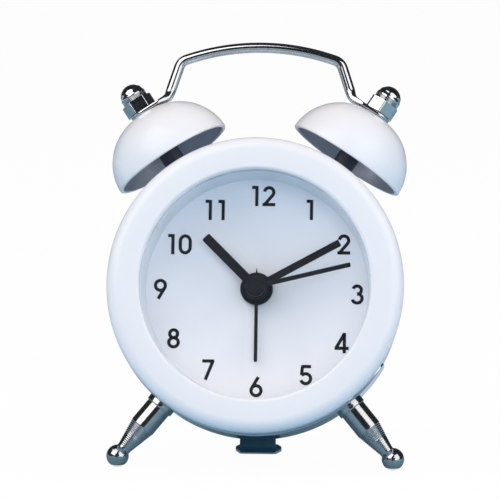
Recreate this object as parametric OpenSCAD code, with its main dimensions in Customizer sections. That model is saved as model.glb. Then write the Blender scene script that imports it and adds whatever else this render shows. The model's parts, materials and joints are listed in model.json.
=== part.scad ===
// Small twin bell alarm clock with a quartz movement.
// It stands on two ball feet and a rear foot, with its dial leaning back.
// Most pieces are drawn in the dial's own frame: x to the right, y up the dial, z forward,
// z = 0 at the front of the bezel. placed() then leans that frame back and stands it on the ground.

/* [Stand] */
// Angle by which the dial leans back
lean = 15; // [6:0.5:18]
// Angle of each leg from straight down the dial
leg_angle = 39.5; // [32:0.5:46]
// Distance of the legs behind the bezel's front
leg_back = 13.8; // [13.2:0.1:15.2]
// Diameter of a leg's upper cylinder
leg_d = 5; // [4:0.1:6]
// Length of that cylinder below its collar
leg_barrel = 4.8; // [3:0.1:7]
// Length of the tapered part
leg_taper = 5.6; // [4:0.1:8]
// Diameter of the neck above the ball
leg_neck_d = 2.7; // [2:0.1:3.4]
// Diameter of the ball foot
ball_d = 4.3; // [3.8:0.1:5.5]
// Thickness of the collar against the strap
collar_t = 1; // [0.5:0.1:1.6]
// How far the collar stands out from the cylinder
collar_lip = 0.3; // [0.1:0.05:0.6]
// Width of the strap that carries the legs
strap_w = 12; // [8:0.1:13]
// Thickness of that strap
strap_t = 0.8; // [0.5:0.1:1.2]
// Angle by which the strap runs on past each leg
strap_past = 20.5; // [7:0.5:26]
// Width of the rear foot
foot_w = 7; // [6:0.1:9]
// Sheet thickness of the rear foot
foot_t = 1; // [0.6:0.1:1.6]
// How far the sole widens on each side towards its rear end
sole_flare = 1; // [0.2:0.1:1.5]
// Length of the foot's sole on the ground
sole_len = 9; // [8:0.5:20]
// Height of the foot's upright on the rear cover, above the drum's edge
foot_lap = 12; // [9:0.5:14]

/* [Case] */
// Outer diameter of the drum
drum_d = 54.8; // [53:0.1:60]
// Wall of the drum
drum_wall = 0.8; // [0.5:0.05:1.2]
// How far the bezel stands out from the drum
bezel_skirt = 0.6; // [0.4:0.05:1.5]
// Depth of the bezel over the drum
bezel_depth = 5.5; // [5:0.1:7.2]
// Thickness of the bezel's ring in front of the drum
ring_t = 3.5; // [3.1:0.1:4.5]
// Width of the bezel's face
face_w = 6.3; // [5.7:0.1:8]
// Rounding of the bezel's outer edge
edge_round = 2.4; // [1:0.1:2.9]
// Rounding of the bezel's inner edge
lip_round = 0.7; // [0.3:0.05:0.8]
// Thickness of the lip that holds the lens
lip_t = 1.8; // [1.6:0.05:2.2]
// Width of the lip that holds the lens
lip_w = 0.9; // [0.6:0.05:1.2]
// Thickness of the lens
lens_t = 1.2; // [0.8:0.05:1.5]
// Depth from the bezel's front to the dial
recess = 11; // [10:0.1:13]
// How far the recess narrows towards the dial
recess_taper = 0.5; // [0.2:0.05:0.9]
// Thickness of the dial
dial_t = 0.6; // [0.3:0.05:1]
// Thickness of the rear cover
cover_t = 1.2; // [0.9:0.05:2]
// Room between the movement and the rear cover
cover_room = 2.1; // [2:0.05:3]
// Diameter of the long screws that hold the cover
long_screw_d = 1.6; // [1.2:0.1:1.7]

/* [Bells and handle] */
// Angle of each bell from straight up the dial
bell_angle = 33.2; // [31:0.2:38]
// Distance of the bells and the handle behind the bezel's front
bell_back = 14.2; // [12:0.1:15]
// Gap from the drum to the plane of a bell's rim
bell_gap = 3; // [2:0.1:5]
// Diameter of a bell at its rim
bell_d = 24; // [20:0.1:25]
// Height of a bell
bell_h = 10.4; // [9:0.1:11.4]
// Wall of a bell
bell_wall = 0.9; // [0.6:0.05:1.3]
// Diameter of the post inside a bell
post_d = 4.2; // [3.8:0.1:5]
// Diameter of the studs of the bells and the legs
stud_d = 3; // [2.5:0.1:3.2]
// Width of the nuts across their flats
nut_af = 5.5; // [5.2:0.1:6]
// Height of a cap nut's hexagon
hex_h = 2.4; // [1.8:0.1:3]
// Height of a cap nut
cap_nut_h = 5.8; // [5.6:0.1:7]
// Diameter of a cap nut's dome
dome_d = 5.2; // [4.8:0.1:5.2]
// Height of the plain nuts inside the drum
inner_nut_h = 1.8; // [1.4:0.1:2]
// Diameter of the handle's rod
rod_d = 2; // [1.6:0.1:2.4]
// Height of the rod's middle line above the dial's centre
handle_top = 47.5; // [46.5:0.1:52]
// Radius of the handle's top arc
handle_arc = 43.6; // [35:0.5:60]
// Radius of the handle's shoulders
shoulder_r = 2.4; // [1.6:0.1:4]
// Slope of the handle's legs from the dial's upright line
handle_slope = 18; // [10:0.5:24]
// Thickness of the handle's flat ends
tab_t = 0.8; // [0.5:0.05:1.2]
// Width of the handle's flat ends
tab_w = 5.2; // [4.8:0.1:6]
// Distance from a stud to the root of the handle's leg
tab_reach = 6.2; // [5:0.1:7]

/* [Hands] */
// Length of the hour hand
hour_len = 13.8; // [10:0.1:15]
// Width of the hour hand
hour_w = 1.8; // [1.2:0.05:2.4]
// Angle of the hour hand, clockwise from 12
hour_at = 314.7; // [0:0.1:360]
// Length of the minute hand
minute_len = 18; // [14:0.1:19]
// Width of the minute hand
minute_w = 1.35; // [0.9:0.05:1.8]
// Angle of the minute hand, clockwise from 12
minute_at = 61.2; // [0:0.1:360]
// Length of the second hand
second_len = 18.4; // [14:0.1:19]
// Width of the second hand
second_w = 0.85; // [0.5:0.05:1.2]
// Angle of the second hand, clockwise from 12
second_at = 76.3; // [0:0.1:360]
// Length of the alarm hand
alarm_len = 14; // [10:0.1:16]
// Width of the alarm hand
alarm_w = 0.65; // [0.4:0.05:1]
// Angle of the alarm hand, clockwise from 12
alarm_at = 180; // [0:0.1:360]
// Thickness of every hand
hand_t = 0.4; // [0.25:0.05:0.5]
// Step from one hand to the next along the arbor
hand_step = 1.3; // [1.2:0.05:1.4]
// Gap from the dial to the alarm hand's collar
hand_gap = 0.8; // [0.6:0.05:1]
// Diameter of the alarm hand's collar
alarm_hub_d = 6.2; // [5.6:0.1:7]
// Diameter of the hour hand's collar
hour_hub_d = 4.9; // [4.4:0.1:5.4]
// Diameter of the minute hand's collar
minute_hub_d = 4.2; // [3.6:0.1:4.8]
// Diameter of the second hand's cap
second_hub_d = 3.8; // [2.6:0.1:4]

/* [Movement] */
// Thickness of the movement's plates
plate_t = 0.9; // [0.8:0.05:1.1]
// Thickness of every wheel
wheel_t = 0.7; // [0.5:0.05:0.9]
// Gap between wheels along their arbors
wheel_gap = 0.3; // [0.2:0.05:0.4]
// Radial clearance of every running fit
run_fit = 0.05; // [0.03:0.01:0.08]
// Radial clearance of fixed pieces in their seats
seat_fit = 0.05; // [0.02:0.01:0.1]
// Radius of the seconds arbor
arbor_r = 0.45; // [0.4:0.01:0.47]
// Wall of each tube round that arbor
tube_wall = 0.5; // [0.45:0.01:0.52]
// Diameter of the setting shafts
set_shaft_d = 2; // [1.6:0.05:2.1]
// Diameter of the setting knobs
knob_d = 8.4; // [6:0.1:10]
// Length of the setting knobs
knob_h = 4.4; // [3:0.1:4.8]
// Diameter of the button cell
cell_d = 9.5; // [7.9:0.1:11.6]
// Height of the button cell
cell_h = 3.6; // [2.6:0.1:5.4]
// Distance of the cell above the dial's centre
cell_up = 13.4; // [13:0.1:14]
// Turn that frees the battery cap
cap_turn = 60; // [45:5:60]
// Travel of the alarm switch
switch_travel = 3; // [2:0.1:4]

/* [Hidden] */
$fn = 96;

white_enamel = [0.93, 0.94, 0.96];
dial_white = [0.87, 0.89, 0.94];
clear_lens = [0.85, 0.9, 0.95, 0.35];
black_paint = [0.07, 0.07, 0.08];
black_plastic = [0.1, 0.1, 0.11];
grey_plastic = [0.55, 0.57, 0.6];
chrome = [0.78, 0.79, 0.82];
nickel = [0.66, 0.66, 0.68];
brass = [0.75, 0.62, 0.32];
copper = [0.72, 0.4, 0.22];
board_green = [0.1, 0.36, 0.2];

// How far a cut runs past the faces it opens
past = 1;

// Radii of the case
drum_r = drum_d / 2;
bore_r = drum_r - drum_wall;
bezel_r = drum_r + bezel_skirt;
opening_r = bezel_r - face_w;
lens_r = opening_r + lip_w;
spigot_wall = 0.7;
spigot_r = lens_r + seat_fit + spigot_wall;
spigot_len = 2.5;
long_screw_r = long_screw_d / 2;
long_screw_room = 0.6;
long_screw_at = bore_r - long_screw_r - long_screw_room;
long_screw_lip = 0.7;
long_screw_head_r = long_screw_r + long_screw_lip;
long_screw_head_t = 0.8;
long_screw_bite = 2.2;
long_screw_turns = [0, 120, 240];
movement_room = 0.8;
movement_r = long_screw_at - long_screw_r - movement_room;

// Planes of the stack, from the bezel's front backwards
z_lens = -lip_t;
z_ring = z_lens - lens_t;
z_dial = -recess;
z_case = z_dial - dial_t;
z_alarm = z_case - plate_t - wheel_gap;
z_middle = z_alarm - wheel_t - wheel_gap;
z_hour = z_middle - plate_t - wheel_gap;
z_motion = z_hour - wheel_t - wheel_gap;
z_centre = z_motion - wheel_t - wheel_gap;
z_third = z_centre - wheel_t - wheel_gap;
z_second = z_third - wheel_t - wheel_gap;
z_inter = z_second - wheel_t - wheel_gap;
z_rear = z_inter - wheel_t - wheel_gap;
z_room = z_rear - plate_t;
z_cover = z_room - cover_room;
z_back = z_cover - cover_t;

// The leaning frame: ball feet on the ground, the whole centred front to back
ball_r = ball_d / 2;
strap_r = drum_r + strap_t;
barrel_at = strap_r + collar_t;
taper_at = barrel_at + leg_barrel;
neck_at = taper_at + leg_taper;
ball_at = neck_at + sqrt(ball_r * ball_r - leg_neck_d * leg_neck_d / 4);
z_lift = ball_r + ball_at * cos(leg_angle) * cos(lean) + leg_back * sin(lean);
foot_front = -z_back;
sole_r = foot_w / 2 + sole_flare;
foot_back = foot_front + foot_t;
foot_low = (foot_back * sin(lean) - z_lift) / cos(lean);
sole_from = foot_front * cos(lean) + foot_low * sin(lean);
knob_gap = 0.4;
knob_end_t = 1;
knob_back = -z_back + knob_gap + knob_h;
front_reach = edge_round * cos(lean) - edge_round - (bezel_r - edge_round) * sin(lean);
screw_reach = (long_screw_head_t - z_back) * cos(lean) + (long_screw_at + long_screw_head_r) * sin(lean);
cover_reach = drum_r * sin(lean) - z_back * cos(lean);
knob_reach = knob_back * cos(lean) + knob_d / 2 * sin(lean);
rim_at = drum_r + bell_gap;
bell_arc_at = bell_d / 2 - bell_h;
bell_rise = cos(bell_angle) * sin(lean);
bell_run = bell_arc_at * sqrt(1 - bell_rise * bell_rise);
bell_reach = rim_at * bell_rise + bell_back * cos(lean) + bell_run + bell_h;
rear_reach = max(sole_from + sole_len, knob_reach, screw_reach, cover_reach, bell_reach);
y_shift = -(front_reach + rear_reach) / 2;

// Bells and handle
stud_r = stud_d / 2;
bell_hole_r = stud_r + seat_fit;
bell_top = rim_at + sqrt(pow(bell_h, 2) - pow(max(bell_hole_r - bell_arc_at, 0), 2));
post_span = max(abs(post_d / 2 - bell_arc_at), abs(bell_hole_r - bell_arc_at));
post_top = rim_at + sqrt(pow(bell_h - bell_wall, 2) - pow(post_span, 2));
nut_corner_r = nut_af / 2 / cos(30);
inner_nut_at = sqrt(bore_r * bore_r - nut_corner_r * nut_corner_r) - inner_nut_h;
nut_cap_t = 1.3;
nut_chamfer = 0.6;
stud_past = 0.3;
tab_top = bell_top + tab_t;
rod_r = rod_d / 2;
rod_step = 0.005;
rod_lap = 0.1;

// The handle's rod: a leg rises from the tab, a shoulder bends it into the top arc
arc_y = handle_top - handle_arc;
tab_out = [sin(bell_angle), cos(bell_angle)];
tab_in = [-cos(bell_angle), sin(bell_angle)];
rod_foot = tab_out * tab_top + tab_in * tab_reach;
rod_up = [-sin(handle_slope), cos(handle_slope)];
rod_inner = [-cos(handle_slope), -sin(handle_slope)];
shoulder_from = rod_foot + rod_inner * shoulder_r - [0, arc_y];
shoulder_along = shoulder_from * rod_up;
rod_len = sqrt(pow(shoulder_along, 2) - shoulder_from * shoulder_from + pow(handle_arc - shoulder_r, 2))
  - shoulder_along;
shoulder_at = rod_foot + rod_inner * shoulder_r + rod_up * rod_len;
arc_half = atan2(shoulder_at[0], shoulder_at[1] - arc_y);

// Arbors, tubes and hands along the dial's axis
minute_bore = arbor_r + run_fit;
minute_tube_r = minute_bore + tube_wall;
hour_bore = minute_tube_r + run_fit;
hour_tube_r = hour_bore + tube_wall;
alarm_bore = hour_tube_r + run_fit;
alarm_tube_r = alarm_bore + tube_wall;
z_alarm_hand = z_dial + hand_gap + hand_step - wheel_gap;
z_hour_hand = z_alarm_hand + hand_step;
z_minute_hand = z_hour_hand + hand_step;
z_second_hand = z_minute_hand + hand_step;
hand_play = 0.3;
hub_t = hand_step - hand_play;
second_cap_t = 0.5;
pivot_r = 0.3;
thin_arbor_r = 0.4;
set_shaft_r = set_shaft_d / 2;
set_pivot_share = 0.6;
set_pivot_r = set_shaft_r * set_pivot_share;

// Wheel train: tooth counts, modules and places
cannon_teeth = 8;
motion_teeth = 24;
motion_pinion_teeth = 6;
hour_teeth = 24;
time_pinion_teeth = cannon_teeth;
alarm_teeth = 36;
alarm_pinion_teeth = 12;
pinion_teeth = 6;
third_teeth = 45;
centre_teeth = 48;
second_teeth = 30;
inter_teeth = 36;
motion_dist = 6;
alarm_dist = 12;
third_dist = 7.2;
inter_dist = 6;
rotor_dist = 5.6;
motion_dir = 180;
alarm_dir = 0;
third_dir = -45;
inter_dir = 225;
rotor_dir = 250;
cannon_module = 2 * motion_dist / (cannon_teeth + motion_teeth);
hour_module = 2 * motion_dist / (motion_pinion_teeth + hour_teeth);
alarm_module = 2 * alarm_dist / (alarm_teeth + alarm_pinion_teeth);
third_module = 2 * third_dist / (pinion_teeth + third_teeth);
centre_module = 2 * third_dist / (pinion_teeth + centre_teeth);
second_module = 2 * inter_dist / (pinion_teeth + second_teeth);
inter_module = 2 * rotor_dist / (pinion_teeth + inter_teeth);
function polar(distance, direction) = distance * [cos(direction), sin(direction)];
motion_pos = polar(motion_dist, motion_dir);
time_pos = motion_pos + polar(motion_dist, motion_dir);
alarm_pos = polar(alarm_dist, alarm_dir);
third_pos = polar(third_dist, third_dir);
inter_pos = polar(inter_dist, inter_dir);
rotor_pos = inter_pos + polar(rotor_dist, rotor_dir);
stud_pin_r = 0.5;

// Movement case and what it holds
case_wall = 1;
case_bore_r = movement_r - case_wall;
pillar_r = 1.5;
pillar_in = 2;
pillar_at = case_bore_r - pillar_r - pillar_in;
pillar_turns = [55, 180, 305];
small_screw_r = 0.7;
small_head_r = 1.3;
small_head_t = 0.6;
rib_t = 1;
cell_pos = [0, cell_up];
cell_r = cell_d / 2;
cell_room = 0.3;
cup_bore_r = cell_r + cell_room;
cup_wall = 0.8;
cap_sunk = 1.1;
cap_body_t = cover_t + cap_sunk;
cell_gap = 0.3;
contact_t = 0.3;
contact_from = 70;
contact_span = 40;
z_cell = z_back + cap_body_t + cell_gap + cell_h;
cup_floor = z_cell + contact_t;
cap_over = 0.2;
cap_body_r = cell_r + cap_over;
cap_flange_w = 1;
cap_flange_r = cap_body_r + cap_flange_w;
cap_flange_t = 0.8;
lug_w = 0.8;
lug_r = cap_body_r + lug_w;
lug_t = 0.8;
lug_gap = 0.1;
lug_span = 32;
lug_turns = [0, 180];
notch_spare = 4;
rib_in = movement_r - rib_t;
switch_y = -10.2;
switch_edge = 0.5;
switch_button = [4.4, 3];
switch_neck = [2, 1.4];
switch_plate = [6, 3.6];
switch_reach = sqrt(pow(rib_in - switch_edge, 2) - pow(switch_plate[1] / 2 - switch_y, 2));
switch_pos = [switch_reach - switch_travel - switch_plate[0] / 2, switch_y];
switch_cap_t = 1.4;
switch_plate_t = 0.6;
buzzer_r = 4.4;
buzzer_edge = 0.6;
buzzer_dir = 223.7;
buzzer_pos = polar(rib_in - buzzer_r - buzzer_edge, buzzer_dir);
buzzer_gap = 0.5;
buzzer_t = cover_room - buzzer_gap;
buzzer_hole_r = 1;
sound_slot = [0.7, 5];
sound_pitch = 1.4;
sound_each_side = 2;
board_edge = 3.8;
board_from = [-5.5, board_edge - rib_in];
board_size = [13, 10.4];
board_t = 0.6;
crystal_r = 0.7;
crystal_len = 5;
crystal_in = 2;
coil_y = -15;
coil_r = 2.2;
core_h = 1.6;
yoke_w = 4.6;
stator_t = 0.8;
stator_x = [-11, 7.6];
stator_leg = 1.6;
stator_drop = 0.6;
z_stator = z_motion - stator_drop;
stator_post_r = 0.7;
stator_post_y = -13.2;
magnet_r = 1.5;
magnet_gap = 0.4;
foot_screw_shares = [0.35, 0.75];

// Stands a piece of the dial's frame on the ground
module placed() {
  translate([0, y_shift, z_lift]) rotate([-lean, 0, 0]) rotate([90, 0, 0]) children();
}

// Turns a piece's z axis to point outwards from the dial's axis, clockwise from 12
module radial(turn, back) {
  translate([0, 0, -back]) rotate(-turn) rotate([-90, 0, 0]) children();
}

// A disc or ring whose front face is at z
module slab(r, z, t, bore = 0) {
  translate([0, 0, z - t]) linear_extrude(t) difference() {
    circle(r);
    if (bore > 0) circle(bore);
  }
}

// A rod from one z to another, the first one being further back
module rod(r, from, to) {
  translate([0, 0, from]) cylinder(r = r, h = to - from);
}

module at(pos) {
  translate([pos[0], pos[1], 0]) children();
}

// Straight-flanked teeth with generous play, four points to a tooth
tooth_add = 0.75;
tooth_ded = 1.1;
tooth_root = 0.5;
tooth_tip = 0.2;
function gear_outline(teeth, mod) = [
  for (i = [0 : teeth - 1])
  for (corner = [[-1, tooth_root, -tooth_ded], [-1, tooth_tip, tooth_add],
    [1, tooth_tip, tooth_add], [1, tooth_root, -tooth_ded]])
  polar(mod * (teeth / 2 + corner[2]), (i + corner[0] * corner[1] / 2) * 360 / teeth)
];
// Turn of a wheel that meshes with another one lying in the opposite direction
function mesh_turn(direction, turn, teeth, own) =
  direction + 180 + 180 / own - (turn - direction) * teeth / own;
module gear(teeth, mod, z, turn = 0) {
  translate([0, 0, z - wheel_t]) rotate(turn) linear_extrude(wheel_t) polygon(gear_outline(teeth, mod));
}

module bezel() {
  color(white_enamel) placed() difference() {
    rotate_extrude() difference() {
      union() {
        translate([opening_r, -ring_t]) square([drum_r - opening_r, ring_t - edge_round]);
        translate([opening_r, -edge_round]) square([lip_round, edge_round - lip_round]);
        translate([opening_r + lip_round, -edge_round])
          square([bezel_r - edge_round - opening_r - lip_round, edge_round]);
        translate([opening_r + lip_round, -lip_round]) circle(lip_round);
        translate([bezel_r - edge_round, -edge_round]) intersection() {
          circle(edge_round);
          square(edge_round);
        }
        translate([drum_r, -bezel_depth]) square([bezel_skirt, bezel_depth - edge_round]);
        translate([lens_r, -ring_t - spigot_len]) square([spigot_r - lens_r, spigot_len + lip_t]);
      }
      translate([0, -ring_t - spigot_len - past])
        square([lens_r + seat_fit, ring_t + spigot_len + past - lip_t]);
    }
    for (turn = long_screw_turns)
      rotate(-turn) translate([0, long_screw_at, 0])
        rod(long_screw_r + seat_fit, -ring_t - past, -ring_t + long_screw_bite);
  }
}

module lens() {
  color(clear_lens) placed() slab(lens_r, z_lens, lens_t);
}

module dial_ring() {
  color(white_enamel) placed() rotate_extrude() polygon([
    [opening_r, z_ring], [lens_r, z_ring], [lens_r, z_dial + lip_t], [movement_r, z_dial + lip_t],
    [movement_r, z_dial], [opening_r - recess_taper, z_dial]
  ]);
}

module dial() {
  color(dial_white) placed() slab(movement_r, z_dial, dial_t, alarm_tube_r + hand_play);
}

module case_drum() {
  color(white_enamel) placed() difference() {
    slab(drum_r, -ring_t, -z_cover - ring_t, bore_r);
    for (side = [-1, 1]) {
      radial(side * bell_angle, bell_back) rod(stud_r + seat_fit, bore_r - past, drum_r + past);
      radial(180 - side * leg_angle, leg_back) rod(stud_r + seat_fit, bore_r - past, drum_r + past);
    }
  }
}

// A straight hand on a collar, pressed on its tube
module hand(len, w, turn, z, hub_r, bore) {
  color(black_paint) placed() rotate(-turn) difference() {
    union() {
      translate([-w / 2, 0, z - hand_t]) cube([w, len, hand_t]);
      slab(hub_r, z, hub_t);
    }
    rod(bore, z - hub_t - past, z + past);
  }
}

module alarm_hand() {
  tail_past = 0.8;
  tail_len = alarm_hub_d / 2 + tail_past;
  color(black_paint) placed() rotate(-alarm_at) difference() {
    union() {
      translate([0, 0, z_alarm_hand - hand_t]) linear_extrude(hand_t) {
        translate([-alarm_w / 2, 0]) square([alarm_w, alarm_len - alarm_w / 2]);
        translate([0, alarm_len - alarm_w / 2]) circle(alarm_w / 2);
        polygon([[-alarm_w, 0], [alarm_w, 0], [0, -tail_len]]);
      }
      slab(alarm_hub_d / 2, z_alarm_hand, hub_t);
    }
    rod(alarm_tube_r, z_alarm_hand - hub_t - past, z_alarm_hand + past);
  }
}

module hour_hand() {
  hand(hour_len, hour_w, hour_at, z_hour_hand, hour_hub_d / 2, hour_tube_r);
}

module minute_hand() {
  hand(minute_len, minute_w, minute_at, z_minute_hand, minute_hub_d / 2, minute_tube_r);
}

module second_hand() {
  color(black_paint) placed() rotate(-second_at) difference() {
    union() {
      translate([-second_w / 2, 0, z_second_hand - hand_t]) cube([second_w, second_len, hand_t]);
      slab(second_hub_d / 2, z_second_hand + second_cap_t, hub_t + second_cap_t);
    }
    rod(arbor_r, z_second_hand - hub_t - past, z_second_hand);
  }
}

module movement_case() {
  color(black_plastic) placed() difference() {
    union() {
      slab(movement_r, z_case, plate_t);
      slab(movement_r, z_case, z_case - z_rear, case_bore_r);
      for (turn = pillar_turns) at(polar(pillar_at, turn)) rod(pillar_r, z_middle, z_case - plate_t / 2);
    }
    rod(alarm_tube_r + run_fit, z_case - plate_t - past, z_case + past);
    at(alarm_pos) rod(set_pivot_r + run_fit, z_case - plate_t - past, z_case + past);
    for (turn = pillar_turns)
      at(polar(pillar_at, turn)) rod(small_screw_r + seat_fit, z_middle - past, z_middle + wheel_t);
  }
}

module middle_plate() {
  color(grey_plastic) placed() difference() {
    union() {
      slab(case_bore_r - seat_fit, z_middle, plate_t);
      for (turn = pillar_turns) at(polar(pillar_at, turn)) rod(pillar_r, z_rear, z_middle - plate_t / 2);
      at(motion_pos) rod(stud_pin_r, z_motion - wheel_t - wheel_gap / 2, z_middle - plate_t / 2);
      for (x = [stator_x[0] + stator_leg / 2, stator_x[1] - stator_leg / 2])
        at([x, stator_post_y]) rod(stator_post_r, z_stator, z_middle - plate_t / 2);
    }
    rod(hour_tube_r + run_fit, z_middle - plate_t - past, z_middle + past);
    at(alarm_pos) rod(set_shaft_r + run_fit, z_middle - plate_t - past, z_middle + past);
    at(time_pos) rod(set_pivot_r + run_fit, z_middle - plate_t - past, z_middle + past);
    at(third_pos) rod(pivot_r + run_fit, z_middle - plate_t - past, z_middle + past);
    at(rotor_pos) rod(pivot_r + run_fit, z_middle - plate_t - past, z_middle + past);
    for (turn = pillar_turns)
      at(polar(pillar_at, turn)) rod(small_screw_r + seat_fit, z_rear - past, z_middle + past);
  }
}

module rear_plate() {
  color(grey_plastic) placed() difference() {
    union() {
      slab(movement_r, z_rear, plate_t);
      at(inter_pos) rod(thin_arbor_r, z_rear - plate_t / 2, z_second + wheel_gap / 2);
      at(cell_pos) rod(cup_bore_r + cup_wall, z_rear - plate_t / 2, cup_floor + cup_wall);
    }
    at(cell_pos) rod(cup_bore_r, z_room - past, cup_floor);
    for (pos = [[0, 0], third_pos, rotor_pos]) at(pos) rod(pivot_r + run_fit, z_room - past, z_rear + past);
    for (pos = [time_pos, alarm_pos]) at(pos) rod(set_shaft_r + run_fit, z_room - past, z_rear + past);
    for (turn = pillar_turns)
      at(polar(pillar_at, turn)) rod(small_screw_r + seat_fit, z_room - past, z_rear + past);
  }
}

module movement_screws() {
  color(nickel) placed() for (turn = pillar_turns) at(polar(pillar_at, turn)) {
    rod(small_head_r, z_room - small_head_t, z_room);
    rod(small_screw_r, z_room, z_middle + wheel_t / 2);
  }
}

// Turns of the wheels in the seconds train at rest
third_turn = mesh_turn(third_dir, 0, pinion_teeth, third_teeth);
centre_turn = mesh_turn(third_dir + 180, 0, pinion_teeth, centre_teeth);
inter_pinion_turn = mesh_turn(inter_dir, 0, second_teeth, pinion_teeth);
rotor_turn = mesh_turn(rotor_dir, 0, inter_teeth, pinion_teeth);

module seconds_wheel() {
  color(brass) placed() {
    gear(second_teeth, second_module, z_second);
    gear(pinion_teeth, third_module, z_third);
    rod(arbor_r, z_rear + wheel_gap / 2, z_second_hand);
    rod(pivot_r, z_room + wheel_gap / 2, z_rear + wheel_gap / 2);
  }
}

module third_wheel() {
  color(brass) placed() at(third_pos) {
    gear(third_teeth, third_module, z_third, third_turn);
    gear(pinion_teeth, centre_module, z_centre);
    rod(thin_arbor_r, z_rear + wheel_gap / 2, z_middle - plate_t - wheel_gap / 2);
    rod(pivot_r, z_room + wheel_gap / 2, z_middle - wheel_gap / 2);
  }
}

module centre_wheel() {
  color(brass) placed() difference() {
    gear(centre_teeth, centre_module, z_centre, centre_turn);
    rod(minute_tube_r + run_fit, z_centre - wheel_t - past, z_centre + past);
  }
}

module intermediate_wheel() {
  color(brass) placed() at(inter_pos) difference() {
    union() {
      gear(inter_teeth, inter_module, z_inter);
      gear(pinion_teeth, second_module, z_second, inter_pinion_turn);
      rod(pinion_teeth * second_module / 2 - tooth_ded * second_module, z_inter - wheel_t, z_second);
    }
    rod(thin_arbor_r + run_fit, z_inter - wheel_t - past, z_second + past);
  }
}

module rotor() {
  color(nickel) placed() at(rotor_pos) {
    gear(pinion_teeth, inter_module, z_inter, rotor_turn);
    rod(thin_arbor_r, z_rear + wheel_gap / 2, z_middle - plate_t - wheel_gap / 2);
    rod(pivot_r, z_room + wheel_gap / 2, z_middle - wheel_gap / 2);
    rod(magnet_r, z_stator - stator_t - magnet_gap, z_stator + magnet_gap);
  }
}

module stator() {
  yoke_from = rotor_pos[1] - yoke_w / 2;
  color(nickel) placed() translate([0, 0, z_stator - stator_t]) linear_extrude(stator_t) difference() {
    union() {
      translate([stator_x[0], yoke_from]) square([stator_x[1] - stator_x[0], yoke_w]);
      for (x = [stator_x[0], stator_x[1] - stator_leg])
        translate([x, coil_y - core_h / 2]) square([stator_leg, yoke_from + core_h - coil_y]);
      translate([stator_x[0], coil_y - core_h / 2]) square([stator_x[1] - stator_x[0], core_h]);
    }
    translate(rotor_pos) circle(magnet_r + magnet_gap);
  }
}

module coil() {
  from = stator_x[0] + stator_leg + seat_fit;
  to = stator_x[1] - stator_leg - seat_fit;
  middle = z_stator - stator_t / 2;
  color(copper) placed() difference() {
    translate([from, coil_y, middle]) rotate([0, 90, 0]) cylinder(r = coil_r, h = to - from);
    translate([from - past, coil_y - core_h / 2 - seat_fit, middle - stator_t / 2])
      cube([to - from + 2 * past, core_h + 2 * seat_fit, stator_t]);
  }
}

// Turns of the wheels in the motion work and the alarm drive at rest
motion_turn = mesh_turn(motion_dir, 0, cannon_teeth, motion_teeth);
hour_turn = mesh_turn(motion_dir + 180, 0, motion_pinion_teeth, hour_teeth);
time_turn = mesh_turn(motion_dir, motion_turn, motion_teeth, time_pinion_teeth);
alarm_pinion_turn = mesh_turn(alarm_dir, 0, alarm_teeth, alarm_pinion_teeth);

module minute_cannon() {
  color(brass) placed() difference() {
    union() {
      gear(cannon_teeth, cannon_module, z_motion);
      rod(minute_tube_r, z_centre - wheel_t, z_minute_hand);
    }
    rod(minute_bore, z_centre - wheel_t - past, z_minute_hand + past);
  }
}

module motion_wheel() {
  color(grey_plastic) placed() at(motion_pos) difference() {
    union() {
      gear(motion_teeth, cannon_module, z_motion, motion_turn);
      gear(motion_pinion_teeth, hour_module, z_hour);
      rod(motion_pinion_teeth * hour_module / 2 - tooth_ded * hour_module, z_motion - wheel_t, z_hour);
    }
    rod(stud_pin_r + run_fit, z_motion - wheel_t - past, z_hour + past);
  }
}

module hour_wheel() {
  color(grey_plastic) placed() difference() {
    union() {
      gear(hour_teeth, hour_module, z_hour, hour_turn);
      rod(hour_tube_r, z_hour - wheel_t, z_hour_hand);
    }
    rod(hour_bore, z_hour - wheel_t - past, z_hour_hand + past);
  }
}

module alarm_wheel() {
  color(grey_plastic) placed() difference() {
    union() {
      gear(alarm_teeth, alarm_module, z_alarm);
      rod(alarm_tube_r, z_alarm - wheel_t, z_alarm_hand);
    }
    rod(alarm_bore, z_alarm - wheel_t - past, z_alarm_hand + past);
  }
}

module time_set_shaft() {
  color(grey_plastic) placed() at(time_pos) {
    gear(time_pinion_teeth, cannon_module, z_motion, time_turn);
    rod(set_shaft_r, -knob_back + knob_end_t, z_motion - wheel_t / 2);
    rod(set_pivot_r, z_motion - wheel_t / 2, z_middle - wheel_gap / 2);
  }
}

module alarm_set_shaft() {
  color(grey_plastic) placed() at(alarm_pos) {
    gear(alarm_pinion_teeth, alarm_module, z_alarm, alarm_pinion_turn);
    rod(set_shaft_r, -knob_back + knob_end_t, z_alarm - wheel_t / 2);
    rod(set_pivot_r, z_alarm - wheel_t / 2, z_case - wheel_gap / 2);
  }
}

// A fluted knob, blind at its outer end, pressed on its shaft
module knob(pos) {
  flutes = 16;
  flute_r = 0.5;
  color(black_plastic) placed() at(pos) difference() {
    rod(knob_d / 2, -knob_back, z_back - knob_gap);
    rod(set_shaft_r + seat_fit, -knob_back + knob_end_t, z_back);
    for (i = [0 : flutes - 1])
      at(polar(knob_d / 2, (i + 0.5) * 360 / flutes)) rod(flute_r, -knob_back - past, z_back - 2 * knob_gap);
  }
}

module time_knob() {
  knob(time_pos);
}

module alarm_knob() {
  knob(alarm_pos);
}

module block(centre, size, from, to) {
  translate([centre[0] - size[0] / 2, centre[1] - size[1] / 2, from]) cube([size[0], size[1], to - from]);
}

module alarm_switch() {
  color(white_enamel) placed() {
    block(switch_pos, switch_button, z_back - lug_gap - switch_cap_t, z_back - lug_gap);
    block(switch_pos, switch_neck, z_back - lug_gap, z_cover + lug_gap);
    block(switch_pos, switch_plate, z_cover + lug_gap, z_cover + lug_gap + switch_plate_t);
  }
}

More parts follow.
